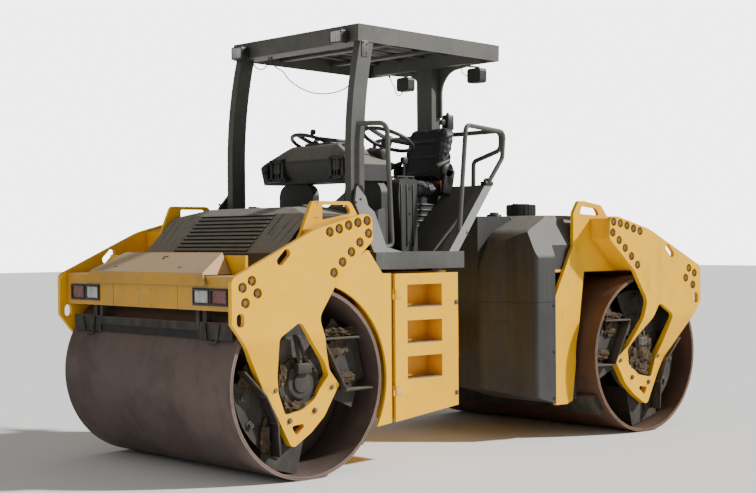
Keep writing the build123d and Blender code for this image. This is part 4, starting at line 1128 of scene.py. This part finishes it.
@dataclass
class TankTrim:
    """Breather, clip, strap screws and hinge pins of the water tank."""

    breather: tuple[tuple[Point, Round], ...] = (
        ((-735, 280, 1696), Round(radius=62, length=24, sides=28, top=56, bevel=4)),
        ((-735, 280, 1716), Round(radius=40, length=18, sides=24, top=30, bevel=4)),
    )
    breather_grip: Brick = Brick(x=(-770, -700), y=(262, 298), z=(1706, 1722), bevel=5)
    strap_screws: tuple[Point, ...] = ((-798, 840, 1012), (-798, 840, 665), (-798, 840, 316))
    strap_screw: Round = Round(radius=12, length=10, sides=16, bevel=2)
    hinge_pins: tuple[Point, ...] = ((-500, 606, 890), (-500, 606, 620))
    hinge_out: Pair = (0.87, 0.48)
    hinge_pin: Round = Round(radius=9, length=10, sides=14)
    cap_at: Point = (-1040.0, 280.0, 1786.0)
    cap: Round = Round(radius=60, length=6, sides=32, bevel=2)
    cap_grip: Brick = Brick(x=(-1130, -950), y=(268, 292), z=(1782, 1795), bevel=5)
    clip: Brick = Brick(x=(-822, -790), y=(398, 406), z=(1630, 1682), bevel=3)
    clip_bolts: tuple[Point, ...] = ((-806, 406, 1668), (-806, 406, 1644))
    clip_bolt: Hexagon = Hexagon(across=12, height=6, washer=9)

    def build(self, shop: Paintshop) -> None:
        """Makes the tank's fittings.

        Args:
            shop: where finishes are kept.
        """
        trim = Solid("water_tank_fittings", NYLON, Body.REAR, shop)
        for at, shape in self.breather:
            trim.rod(at, UP, shape)
        trim.brick(self.breather_grip)
        for left in BOTH:
            for x, y, z in self.strap_screws:
                trim.rod((x, left * y, z), ACROSS, self.strap_screw)
            for x, y, z in self.hinge_pins:
                trim.rod((x, left * y, z), (self.hinge_out[0], left * self.hinge_out[1], 0), self.hinge_pin)
        trim.rod(self.cap_at, UP, self.cap)
        trim.brick(self.cap_grip)
        trim.done()
        clip = Solid("water_tank_clip", ZINC, Body.REAR, shop)
        clip.brick(self.clip)
        for at in self.clip_bolts:
            clip.bolt(at, ACROSS, self.clip_bolt)
        clip.done()


@dataclass
class Stations:
    """Both steering stations: spinner knobs, boss caps, levers, harness clamps, switches and warning lamps."""

    wheel: Point = (485.0, 414.0, 2235.0)
    tilt_deg: float = 24.0
    radius: float = 185.0
    boss: Round = Round(radius=44, length=26, sides=28, top=36, bevel=3)
    boss_up: float = 10.0
    spokes: int = 3
    spoke: Round = Round(radius=15, length=130, sides=12, top=12)
    spoke_out: Pair = (104.0, 1.0)
    knob_turn: Pair = (0.76, 0.62)
    knob: tuple[tuple[float, Round], ...] = (
        (18, Round(radius=13, length=26, sides=14)), (40, Round(radius=23, length=32, sides=24, top=19, bevel=6)),
    )
    column_down: float = 120.0
    lever_way: Point = (0.1, -1.0, 0.35)
    lever: tuple[tuple[Point, Round], ...] = (
        ((0, -75, 25), Round(radius=7, length=120, sides=12)),
        ((-6, -135, 46), Round(radius=14, length=34, sides=16, top=11, bevel=4)),
    )
    cowl: Brick = Brick(x=(560, 640), y=(300, 520), z=(2075, 2165), bevel=14, lean=0.35)
    middle: float = 414.0
    clamps: tuple[Brick, ...] = (
        Brick(x=(872, 912), y=(-150, -120), z=(1955, 2115), bevel=6),
        Brick(x=(872, 912), y=(-20, 10), z=(1955, 2105), bevel=6),
        Brick(x=(872, 912), y=(-170, 60), z=(1945, 1975), bevel=6),
        Brick(x=(872, 912), y=(-150, 20), z=(2085, 2110), bevel=6),
        Brick(x=(872, 912), y=(-110, -30), z=(2010, 2080), bevel=6),
        Brick(x=(872, 912), y=(40, 70), z=(1960, 2080), bevel=6),
    )
    screws: tuple[Pair, ...] = ((-135, 2100), (-5, 2095), (-135, 1960), (-5, 1960), (55, 2020))
    screw_x: float = 912.0
    screw: Hexagon = Hexagon(across=18, height=10, washer=13)
    harness: tuple[Point, ...] = ((905, -90, 2035), (905, -60, 2035))
    harness_way: Point = (0.05, 0.1, 1.0)
    harness_run: Round = Round(radius=9, length=130, sides=12)
    switches: int = 7
    switch_from: float = -135.0
    switch_pitch: float = 45.0
    switch: Brick = Brick(x=(600, 612), y=(-15, 15), z=(2120, 2152), bevel=3)
    display: Brick = Brick(x=(640, 800), y=(-150, 150), z=(2203, 2222), bevel=8)
    light_at: Point = (620.0, 255.0, 2208.0)
    light: Round = Round(radius=15, length=26, sides=20, top=22, bevel=3)

    def build(self, shop: Paintshop) -> None:
        """Makes the wheels' trims, the dash's fittings and its warning lamps.

        Args:
            shop: where finishes are kept.
        """
        trims = Solid("steering_wheel_trims", NYLON, Body.FRONT, shop)
        for left in BOTH:
            self.wheel_trims(trims, left)
        trims.done(sharp_deg=40)
        dash = Solid("control_dash_fittings", NYLON, Body.FRONT, shop)
        for left in BOTH:
            self.dash_face(dash, left)
        for index in range(self.switches):
            dash.brick(self.switch, out=self.switch_from + index * self.switch_pitch)
        dash.brick(self.display)
        dash.done()
        lights = Solid("control_dash_buttons", RED_LENS, Body.FRONT, shop)
        x, y, z = self.light_at
        for left in BOTH:
            lights.rod((x, left * y, z), UP, self.light)
        lights.done()

    def wheel_trims(self, trims: Solid, left: int) -> None:
        """Adds one wheel's boss cap, spokes, spinner knob and lever, and the cowl below it.

        Args:
            trims: the mesh.
            left: 1 for the left station, -1 for the right.
        """
        tilt = math.radians(self.tilt_deg)
        up = Vector((-math.sin(tilt), 0, math.cos(tilt)))
        ahead = Vector(ACROSS).cross(up)
        hub = Vector((self.wheel[0], left * self.wheel[1], self.wheel[2]))
        trims.rod(hub + up * self.boss_up, up, self.boss)
        for index in range(self.spokes):
            turn = index * math.tau / self.spokes
            way = ahead * math.cos(turn) + Vector(ACROSS) * math.sin(turn)
            trims.rod(hub + way * self.spoke_out[0] + up * self.spoke_out[1], way, self.spoke)
        reach, aside = (self.radius * share for share in self.knob_turn)
        knob = hub + ahead * reach + Vector((0, -left * aside, 0))
        for above, shape in self.knob:
            trims.rod(knob + up * above, up, shape)
        column = hub - up * self.column_down
        x, y, z = self.lever_way
        for (dx, dy, dz), shape in self.lever:
            trims.rod(column + Vector((dx, left * dy, dz)), Vector((x, left * y, z)), shape)
        trims.brick(self.cowl, left)

    def dash_face(self, dash: Solid, left: int) -> None:
        """Adds the bracket, harness clamps and cover screws on the forward face of one station.

        Args:
            dash: the mesh.
            left: 1 for the left station, -1 for the right.
        """
        for clamp in self.clamps:
            dash.brick(clamp, left, out=self.middle)
        for dy, z in self.screws:
            dash.bolt((self.screw_x, left * (self.middle + dy), z), AHEAD, self.screw)
        for x, dy, z in self.harness:
            dash.rod((x, left * (self.middle + dy), z), self.harness_way, self.harness_run)


@dataclass
class SideConsole:
    """Drive lever, hand rail, ribs and screws of the console beside the seat, and the floor mats and pedals.

    Heights of the lever and the rail are given from the console's top.
    """

    top_z: float = 1945.0
    middle_y: float = 560.0
    lever: tuple[tuple[Pair, Point, Round], ...] = (  # forward and up, direction, shape
        ((470, 8), (0.0, 0.0, 1.0), Round(radius=42, length=20, sides=24, top=24)),
        ((466, 60), (-0.06, 0.0, 1.0), Round(radius=8, length=110, sides=12)),
    )
    grip: Brick = Brick(x=(440, 486), y=(538, 582), z=(108, 160), bevel=14)
    rail_y: tuple[float, ...] = (505, 615)
    rail_x: tuple[float, ...] = (425, 575)
    rail_middle: float = 500.0
    rail_up: float = 16.0
    rail: Round = Round(radius=6, length=150, sides=10)
    rail_end: Round = Round(radius=6, length=110, sides=10)
    rail_foot_up: float = 6.0
    rail_foot: Round = Round(radius=6, length=26, sides=10)
    ribs_x: tuple[float, ...] = (452, 512, 566)
    rib: Brick = Brick(x=(-6, 6), y=(638, 646), z=(1470, 1905), bevel=3)
    buttons: int = 5
    button_from: Point = (440.0, 520.0, 4.0)
    button_pitch: float = 26.0
    button: Round = Round(radius=9, length=10, sides=16, top=7)
    screws: tuple[Point, ...] = ((482, 640, 1500), (482, 640, 1700), (482, 640, 1880))
    screw: Hexagon = Hexagon(across=13, height=6, washer=9)
    mat: Brick = Brick(x=(600, 1000), y=(-600, 600), z=(1435, 1441), bevel=3)
    mat_ribs: int = 30
    mat_rib_from: float = -580.0
    mat_rib_pitch: float = 40.0
    mat_rib: Brick = Brick(x=(610, 990), y=(-5, 5), z=(1440, 1445), bevel=1.5)
    pedal: Brick = Brick(x=(705, 717), y=(-45, 45), z=(1520, 1640), bevel=4, lean=-0.6)
    pedal_y: float = 300.0
    pedal_arm_at: Pair = (735.0, 1500.0)
    pedal_arm_way: Point = (-0.3, 0.0, 1.0)
    pedal_arm: Round = Round(radius=10, length=130, sides=12)

    def build(self, shop: Paintshop) -> None:
        """Makes the console's fittings, on the left alone, and the floor's.

        Args:
            shop: where finishes are kept.
        """
        self.console(shop)
        floor = Solid("platform_mats", RUBBER, Body.FRONT, shop)
        floor.brick(self.mat)
        for index in range(self.mat_ribs):
            floor.brick(self.mat_rib, out=self.mat_rib_from + index * self.mat_rib_pitch)
        floor.done()
        pedals = Solid("platform_pedals", CASTING, Body.FRONT, shop)
        for left in BOTH:
            pedals.brick(self.pedal, out=left * self.pedal_y)
            pedals.rod((self.pedal_arm_at[0], left * self.pedal_y, self.pedal_arm_at[1]), self.pedal_arm_way,
                       self.pedal_arm)
        pedals.done()

    def console(self, shop: Paintshop) -> None:
        """Makes the drive lever, the hand rail, the ribs, the buttons and the screws.

        Args:
            shop: where the finish is kept.
        """
        solid = Solid("side_console_fittings", NYLON, Body.FRONT, shop)
        for (x, up), way, shape in self.lever:
            solid.rod((x, self.middle_y, self.top_z + up), way, shape)
        solid.brick(self.grip, up=self.top_z)
        for y in self.rail_y:
            solid.rod((self.rail_middle, y, self.top_z + self.rail_up), AHEAD, self.rail)
            for x in self.rail_x:
                solid.rod((x, y, self.top_z + self.rail_foot_up), UP, self.rail_foot)
        for x in reversed(self.rail_x):
            solid.rod((x, self.middle_y, self.top_z + self.rail_up), ACROSS, self.rail_end)
        for x in self.ribs_x:
            low, high = self.rib.corners()
            solid.block(Vector((x, 0, 0)) + low, Vector((x, 0, 0)) + high, self.rib.bevel)
        x, y, up = self.button_from
        for index in range(self.buttons):
            solid.rod((x + index * self.button_pitch, y, self.top_z + up), UP, self.button)
        for at in self.screws:
            solid.bolt(at, ACROSS, self.screw)
        solid.done()


@dataclass
class Seat:
    """Padded cushion and backrest in sewn vinyl, with arm rests, side covers, bellows and belt."""

    voxel: float = 0.006
    shrink: float = 0.012
    cap: float = 0.022
    pressure: float = 4.0
    settle_frames: int = 20
    seam_width: float = 0.009
    seam_depth: float = 0.011
    seams_y: tuple[float, ...] = (0.02, 0.30)
    cushion_seams: tuple[float, ...] = (0.06, 0.17, 0.28)
    back_seams: tuple[float, ...] = (2.0, 2.11, 2.22)
    back_rise: Point = (0.27, 0.0, 0.96)
    sides_y: Pair = (-90.0, 410.0)
    beside: float = 16.0
    recliner_at: Pair = (-95.0, 2030.0)
    recliner: Round = Round(radius=62, length=26, sides=32, top=56, bevel=8)
    side_cover: Brick = Brick(x=(-150, -50), y=(-13, 13), z=(1850, 2040), bevel=12, lean=-0.2)
    arm_rest: Brick = Brick(x=(-120, 30), y=(-20, 20), z=(2060, 2098), bevel=16, lean=0.35)
    folds: int = 6
    fold_from: float = 1560.0
    fold_pitch: float = 40.0
    fold: Brick = Brick(x=(-30, 340), y=(-36, 356), z=(0, 26), bevel=12)
    belt: tuple[Brick, ...] = (
        Brick(x=(-85, -35), y=(-94, 418), z=(1925, 1952), bevel=4),
        Brick(x=(-80, -30), y=(412, 418), z=(1870, 1950), bevel=2),
    )

    def pad(self, node: str, name: str, seams: Sequence[tuple[Vector, Vector]], shop: Paintshop) -> None:
        """Swells a copy of a CAD pad like stuffed fabric and sews channels into it.

        Args:
            node: the CAD node that it stands for.
            name: the new piece's name.
            seams: a point and a direction across each seam's plane, in metres.
            shop: where the finish is kept.
        """
        mesh = frame["nodes"][node].data.copy()
        mesh.name = name
        bm = bmesh.new()
        bm.from_mesh(mesh)
        bmesh.ops.remove_doubles(bm, verts=bm.verts[:], dist=1e-5)
        bmesh.ops.recalc_face_normals(bm, faces=bm.faces[:])
        low = Vector([min(v.co[i] for v in bm.verts) for i in range(3)])
        high = Vector([max(v.co[i] for v in bm.verts) for i in range(3)])
        middle, size = (low + high) / 2, high - low
        for vert in bm.verts:
            for i in range(3):
                vert.co[i] = middle[i] + (vert.co[i] - middle[i]) * (1 - 2 * self.shrink / size[i])
        bm.to_mesh(mesh)
        bm.free()
        mesh.materials.clear()
        obj = bpy.data.objects.new(name, mesh)
        bpy.context.scene.collection.objects.link(obj)
        remesh = obj.modifiers.new("remesh", "REMESH")
        remesh.mode, remesh.voxel_size = "VOXEL", self.voxel
        self.apply(obj)
        self.swell(obj)
        self.sew(obj, seams)
        smooth = obj.modifiers.new("subdivision", "SUBSURF")
        smooth.levels = smooth.render_levels = 1
        self.apply(obj)
        obj.data.shade_smooth()
        obj.data.materials.append(shop.of(VINYL))
        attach(obj, Body.FRONT.value)
        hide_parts(node)
        LOG.info("piece %s: %s, %d faces", name, VINYL.name, len(obj.data.polygons))

    def swell(self, obj: bpy.types.Object) -> None:
        """Runs the cloth with pressure inside, and caps how far each point moves.

        Args:
            obj: the pad.
        """
        before = [v.co.copy() for v in obj.data.vertices]
        cloth = obj.modifiers.new("cloth", "CLOTH")
        cloth.settings.use_pressure = True
        cloth.settings.uniform_pressure_force = self.pressure
        cloth.settings.effector_weights.gravity = 0.0
        cloth.settings.quality = 5
        cloth.point_cache.frame_start, cloth.point_cache.frame_end = 1, self.settle_frames
        for step in range(1, self.settle_frames + 1):
            bpy.context.scene.frame_set(step)
        self.apply(obj)
        bpy.context.scene.frame_set(1)
        for vert, old in zip(obj.data.vertices, before):
            move = vert.co - old
            if move.length > self.cap:
                vert.co = old + move * (self.cap / move.length)

    def sew(self, obj: bpy.types.Object, seams: Sequence[tuple[Vector, Vector]]) -> None:
        """Draws the cover in along each seam's plane.

        Args:
            obj: the pad.
            seams: a point and a direction across each seam's plane, in metres.
        """
        mesh = obj.data
        normals = [v.normal.copy() for v in mesh.vertices]
        for vert, normal in zip(mesh.vertices, normals):
            pull = 0.0
            for point, across in seams:
                gap = (vert.co - point).dot(across) / self.seam_width
                pull = max(pull, math.exp(-gap * gap))
            vert.co -= normal * pull * self.seam_depth

    @staticmethod
    def apply(obj: bpy.types.Object) -> None:
        """Applies all the object's modifiers.

        Args:
            obj: the object.
        """
        bpy.context.view_layer.update()
        graph = bpy.context.evaluated_depsgraph_get()
        fresh = bpy.data.meshes.new_from_object(obj.evaluated_get(graph), depsgraph=graph)
        obj.modifiers.clear()
        obj.data = fresh

    def build(self, shop: Paintshop) -> None:
        """Makes the pads and the seat's fittings.

        Args:
            shop: where finishes are kept.
        """
        across, along, rise = Vector(ACROSS), Vector(AHEAD), Vector(self.back_rise)
        sides = [(Vector((0, y, 0)), across) for y in self.seams_y]
        self.pad("seat_cushion", "seat_cushion_pad",
                 sides + [(Vector((x, 0, 0)), along) for x in self.cushion_seams], shop)
        self.pad("seat_back", "seat_back_pad", sides + [(Vector((0, 0, z)), rise) for z in self.back_seams], shop)
        fittings = Solid("seat_fittings", NYLON, Body.FRONT, shop)
        for y in (self.sides_y[0] - self.beside, self.sides_y[1] + self.beside):
            fittings.rod((self.recliner_at[0], y, self.recliner_at[1]), ACROSS, self.recliner)
            fittings.brick(self.side_cover, out=y)
            fittings.brick(self.arm_rest, out=y)
        for index in range(self.folds):
            fittings.brick(self.fold, up=self.fold_from + index * self.fold_pitch)
        fittings.done(sharp_deg=45)
        belt = Solid("seat_belt", WEBBING, Body.FRONT, shop)
        for strip in self.belt:
            belt.brick(strip)
        belt.done()


@dataclass
class Canopy:
    """Stiffening ribs and edge bolts of the roof, rail clamps, and the small boxes on the posts."""

    ribs_y: tuple[float, ...] = (-520, -260, 0, 260, 520)
    rib: Brick = Brick(x=(-330, 985), y=(-14, 14), z=(2925, 2938), bevel=4, lean=math.radians(-1.8))
    cross_ribs: tuple[Brick, ...] = (
        Brick(x=(30, 90), y=(-700, 700), z=(2890, 2915), bevel=4),
        Brick(x=(530, 590), y=(-700, 700), z=(2890, 2915), bevel=4),
    )
    gusset: tuple[Pair, ...] = ((985, 2875), (926, 2876), (929, 2763), (987, 2762))
    gusset_y: Pair = (714.0, 721.0)
    gusset_bevel: float = 2.0
    post_strip: Brick = Brick(x=(960, 975), y=(700, 714), z=(1480, 1700), bevel=3)
    gusset_bolts: tuple[Point, ...] = ((940, 720.5, 2790), (940, 720.5, 2850), (972, 720.5, 2860))
    gusset_bolt: Hexagon = Hexagon(across=12, height=6, washer=8)
    foot_bolts: tuple[Point, ...] = ((1106, 905, 1520), (1108, 880, 1600), (1086, 815, 1790))
    foot_bolt: Hexagon = Hexagon(across=14, height=8, washer=10)
    beacon_box: tuple[Brick, ...] = (
        Brick(x=(-470, -400), y=(40, 120), z=(2358, 2480), bevel=16),
        Brick(x=(-405, -352), y=(60, 100), z=(2400, 2440), bevel=4),
    )
    beacon_cap_at: Point = (-435.0, 80.0, 2488.0)
    beacon_cap: Round = Round(radius=14, length=20, sides=16, top=10, bevel=3)
    clamps: tuple[tuple[Point, Point], ...] = (
        ((-160, 775, 1938), (-0.1, 0, 1)), ((195, 888, 1560), (0, 0, 1)),
    )
    clamp: Round = Round(radius=26, length=40, sides=20, bevel=4)
    clamp_ears: Point = (34.0, 12.0, 12.0)
    clamp_bevel: float = 5.0
    clamp_bolt_at: Point = (195.0, 912.0, 1560.0)
    clamp_bolt: Hexagon = Hexagon(across=14, height=8, washer=10)
    rail_box: Brick = Brick(x=(-205, -120), y=(738, 796), z=(1906, 1936), bevel=8)

    def build(self, shop: Paintshop) -> None:
        """Makes the canopy's and the posts' fittings.

        Args:
            shop: where finishes are kept.
        """
        ribs = Solid("canopy_ribs", POWDER, Body.FRONT, shop)
        for y in self.ribs_y:
            ribs.brick(self.rib, out=y)
        for rib in self.cross_ribs:
            ribs.brick(rib)
        ribs.plate(self.gusset, self.gusset_y, self.gusset_bevel)
        for left in BOTH:
            ribs.brick(self.post_strip, left)
        ribs.done()
        bolts = Solid("canopy_bolts", ZINC, Body.FRONT, shop)
        for left in BOTH:
            for x, y, z in self.gusset_bolts:
                bolts.bolt((x, left * y, z), (0, left, 0), self.gusset_bolt)
            for x, y, z in self.foot_bolts:
                bolts.bolt((x, left * y, z), AHEAD, self.foot_bolt)
        bolts.done()
        self.boxes(shop)

    def boxes(self, shop: Paintshop) -> None:
        """Makes the small boxes on the posts and the rails' clamps.

        Args:
            shop: where the finish is kept.
        """
        boxes = Solid("post_fittings", NYLON, Body.FRONT, shop)
        for box in self.beacon_box:
            boxes.brick(box)
        boxes.rod(self.beacon_cap_at, UP, self.beacon_cap)
        ears = Vector(self.clamp_ears)
        for left in BOTH:
            for (x, y, z), way in self.clamps:
                at = Vector((x, left * y, z))
                boxes.rod(at, way, self.clamp)
                boxes.block(at - ears, at + ears, self.clamp_bevel)
            x, y, z = self.clamp_bolt_at
            boxes.bolt((x, left * y, z), (0, left, 0), self.clamp_bolt)
            boxes.brick(self.rail_box, left)
        boxes.done()


@dataclass(frozen=True)
class CableRun:
    """One hanging lamp cable: its name, route in millimetres, real length and diameter."""

    name: str
    route: tuple[Point, ...]
    length_mm: float
    diameter_mm: float
    stiffness: Stiffness = Stiffness.MEDIUM

    def build(self, shop: Paintshop) -> None:
        """Args:
            shop: where the finish is kept.
        """
        curve = bpy.data.curves.new(self.name + "_line", "CURVE")
        curve.dimensions = "3D"
        curve.bevel_depth = self.diameter_mm * MM / 2
        curve.bevel_resolution = 4
        curve.use_fill_caps = True
        curve.resolution_u = 12
        spline = curve.splines.new("NURBS")
        spline.points.add(len(self.route) - 1)
        for point, spot in zip(spline.points, self.route):
            point.co = (*[c * MM for c in spot], 1.0)
        spline.order_u = 3
        spline.use_endpoint_u = True
        obj = place_piece(self.name + "_line", curve, JACKET, Body.FRONT, shop, (self.name,))


CABLES = (
    CableRun("roof_cable", (
        (905, -396, 2859), (905, -384, 2826), (904, -340, 2786), (905, -262, 2758), (906, -205, 2698),
        (905, -130, 2650), (904, -40, 2608), (905, 60, 2575), (905, 165, 2556), (906, 275, 2550),
        (905, 375, 2556), (904, 465, 2577), (925, 550, 2612), (948, 608, 2655), (955, 642, 2690),
    ), 1178, 8),
    CableRun("roof_cable_short", (
        (905, -634, 2858), (905, -612, 2826), (905, -572, 2803), (905, -522, 2790), (905, -470, 2803),
        (905, -440, 2832), (905, -431, 2858),
    ), 256, 8),
    CableRun("lamp_lead_left", (
        (-322, 352, 2812), (-345, 330, 2785), (-395, 300, 2768), (-432, 326, 2757),
    ), 144, 7, stiffness=Stiffness.LIMP),
    CableRun("lamp_lead_right", (
        (-362, -508, 2818), (-400, -535, 2790), (-425, -520, 2740), (-428, -512, 2700), (-426, -488, 2672),
        (-428, -452, 2672), (-430, -439, 2697),
    ), 245, 7, stiffness=Stiffness.LIMP),
)


@dataclass
class Studio:
    """Pale floor, soft light and the camera."""

    eye: Point = (7.4976, 8.2920, 1.5154)
    target: Point = (0.4531, 0.2623, 1.4690)
    roll_deg: float = -0.44
    lens_mm: float = 70.1
    sky_light: float = 0.3
    backdrop: float = 4.5
    floor_half: float = 60.0
    floor_colour: str = "F4F4F2"
    floor_roughness: float = 0.9
    middle: Point = (0.0, 0.0, 1.0)
    lamps: tuple[tuple[str, LampKind, Point, float, float], ...] = (  # name, kind, place, strength, size
        ("sun", LampKind.SUN, (-8.0, 8.0, 8.5), 5.6, 0.05), ("fill", LampKind.AREA, (9.0, 3.0, 4.0), 70.0, 5.0),
    )

    def camera(self) -> None:
        """Places the camera and makes it the scene's."""
        eye = Vector(self.eye)
        ahead = (Vector(self.target) - eye).normalized()
        side = ahead.cross(Vector(UP)).normalized()
        up = side.cross(ahead)
        turn = math.radians(self.roll_deg)
        cos, sin = math.cos(turn), math.sin(turn)
        side, up = side * cos + up * sin, up * cos - side * sin
        data = bpy.data.cameras.new("camera")
        data.lens = self.lens_mm
        data.sensor_width = 36.0
        data.clip_end = 100.0
        cam = bpy.data.objects.new("camera", data)
        bpy.context.scene.collection.objects.link(cam)
        basis = Matrix((side, up, -ahead)).transposed().to_4x4()
        cam.matrix_world = Matrix.Translation(eye) @ basis
        bpy.context.scene.camera = cam

    def floor(self) -> None:
        """Makes a wide pale floor."""
        mesh = bpy.data.meshes.new("floor")
        bm = bmesh.new()
        bmesh.ops.create_grid(bm, x_segments=1, y_segments=1, size=self.floor_half)
        bm.to_mesh(mesh)
        bm.free()
        obj = bpy.data.objects.new("floor", mesh)
        bpy.context.scene.collection.objects.link(obj)
        mat = bpy.data.materials.new("pale_floor")
        mat.use_nodes = True
        shader = mat.node_tree.nodes["Principled BSDF"]
        shader.inputs["Base Color"].default_value = linear(self.floor_colour)
        shader.inputs["Roughness"].default_value = self.floor_roughness
        mesh.materials.append(mat)

    def lights(self) -> None:
        """Makes a sun at the rear left, a broad fill and a pale sky, brighter where it is looked at."""
        world = bpy.data.worlds.new("studio")
        world.use_nodes = True
        sky = world.node_tree.nodes["Background"]
        sky.inputs[0].default_value = (1.0, 1.0, 1.0, 1.0)
        seen = add_node(world.node_tree, "LightPath", out="Is Camera Ray")
        levels = {VALUE: seen, TO_LOW: self.sky_light, TO_HIGH: self.backdrop}
        strength = add_node(world.node_tree, "MapRange", levels)
        world.node_tree.links.new(strength, sky.inputs[1])
        bpy.context.scene.world = world
        for name, kind, place, energy, size in self.lamps:
            self.lamp(name, kind, Vector(place), energy, size)

    def lamp(self, name: str, kind: LampKind, place: Vector, energy: float, size: float) -> None:
        """Adds one lamp aimed at the machine's middle.

        Args:
            name: the lamp's name.
            kind: its kind.
            place: where it stands.
            energy: its strength.
            size: its width in metres, or for a sun in radians.
        """
        data = bpy.data.lights.new(name, kind.value)
        data.energy = energy
        setattr(data, "angle" if kind is LampKind.SUN else "size", size)
        lamp = bpy.data.objects.new(name, data)
        bpy.context.scene.collection.objects.link(lamp)
        lamp.location = place
        lamp.rotation_euler = (Vector(self.middle) - place).to_track_quat("-Z", "Y").to_euler()

    def build(self) -> None:
        """Sets the camera, the floor and the lights."""
        self.camera()
        self.floor()
        self.lights()


def main() -> None:
    """Builds everything in order."""
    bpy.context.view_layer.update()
    Studio().build()
    shop = Paintshop()
    shop.dress_frame()
    for cable in CABLES:
        cable.build(shop)
    for group in (ArmFasteners(), DrumEnd(), LowerScraper(), Lamps(), StepDoors(), Covers(), TankTrim(),
                  Stations(), SideConsole(), Seat(), Canopy()):
        LOG.info("building %s", type(group).__name__)
        group.build(shop)


if __name__ == "__main__":
    main()
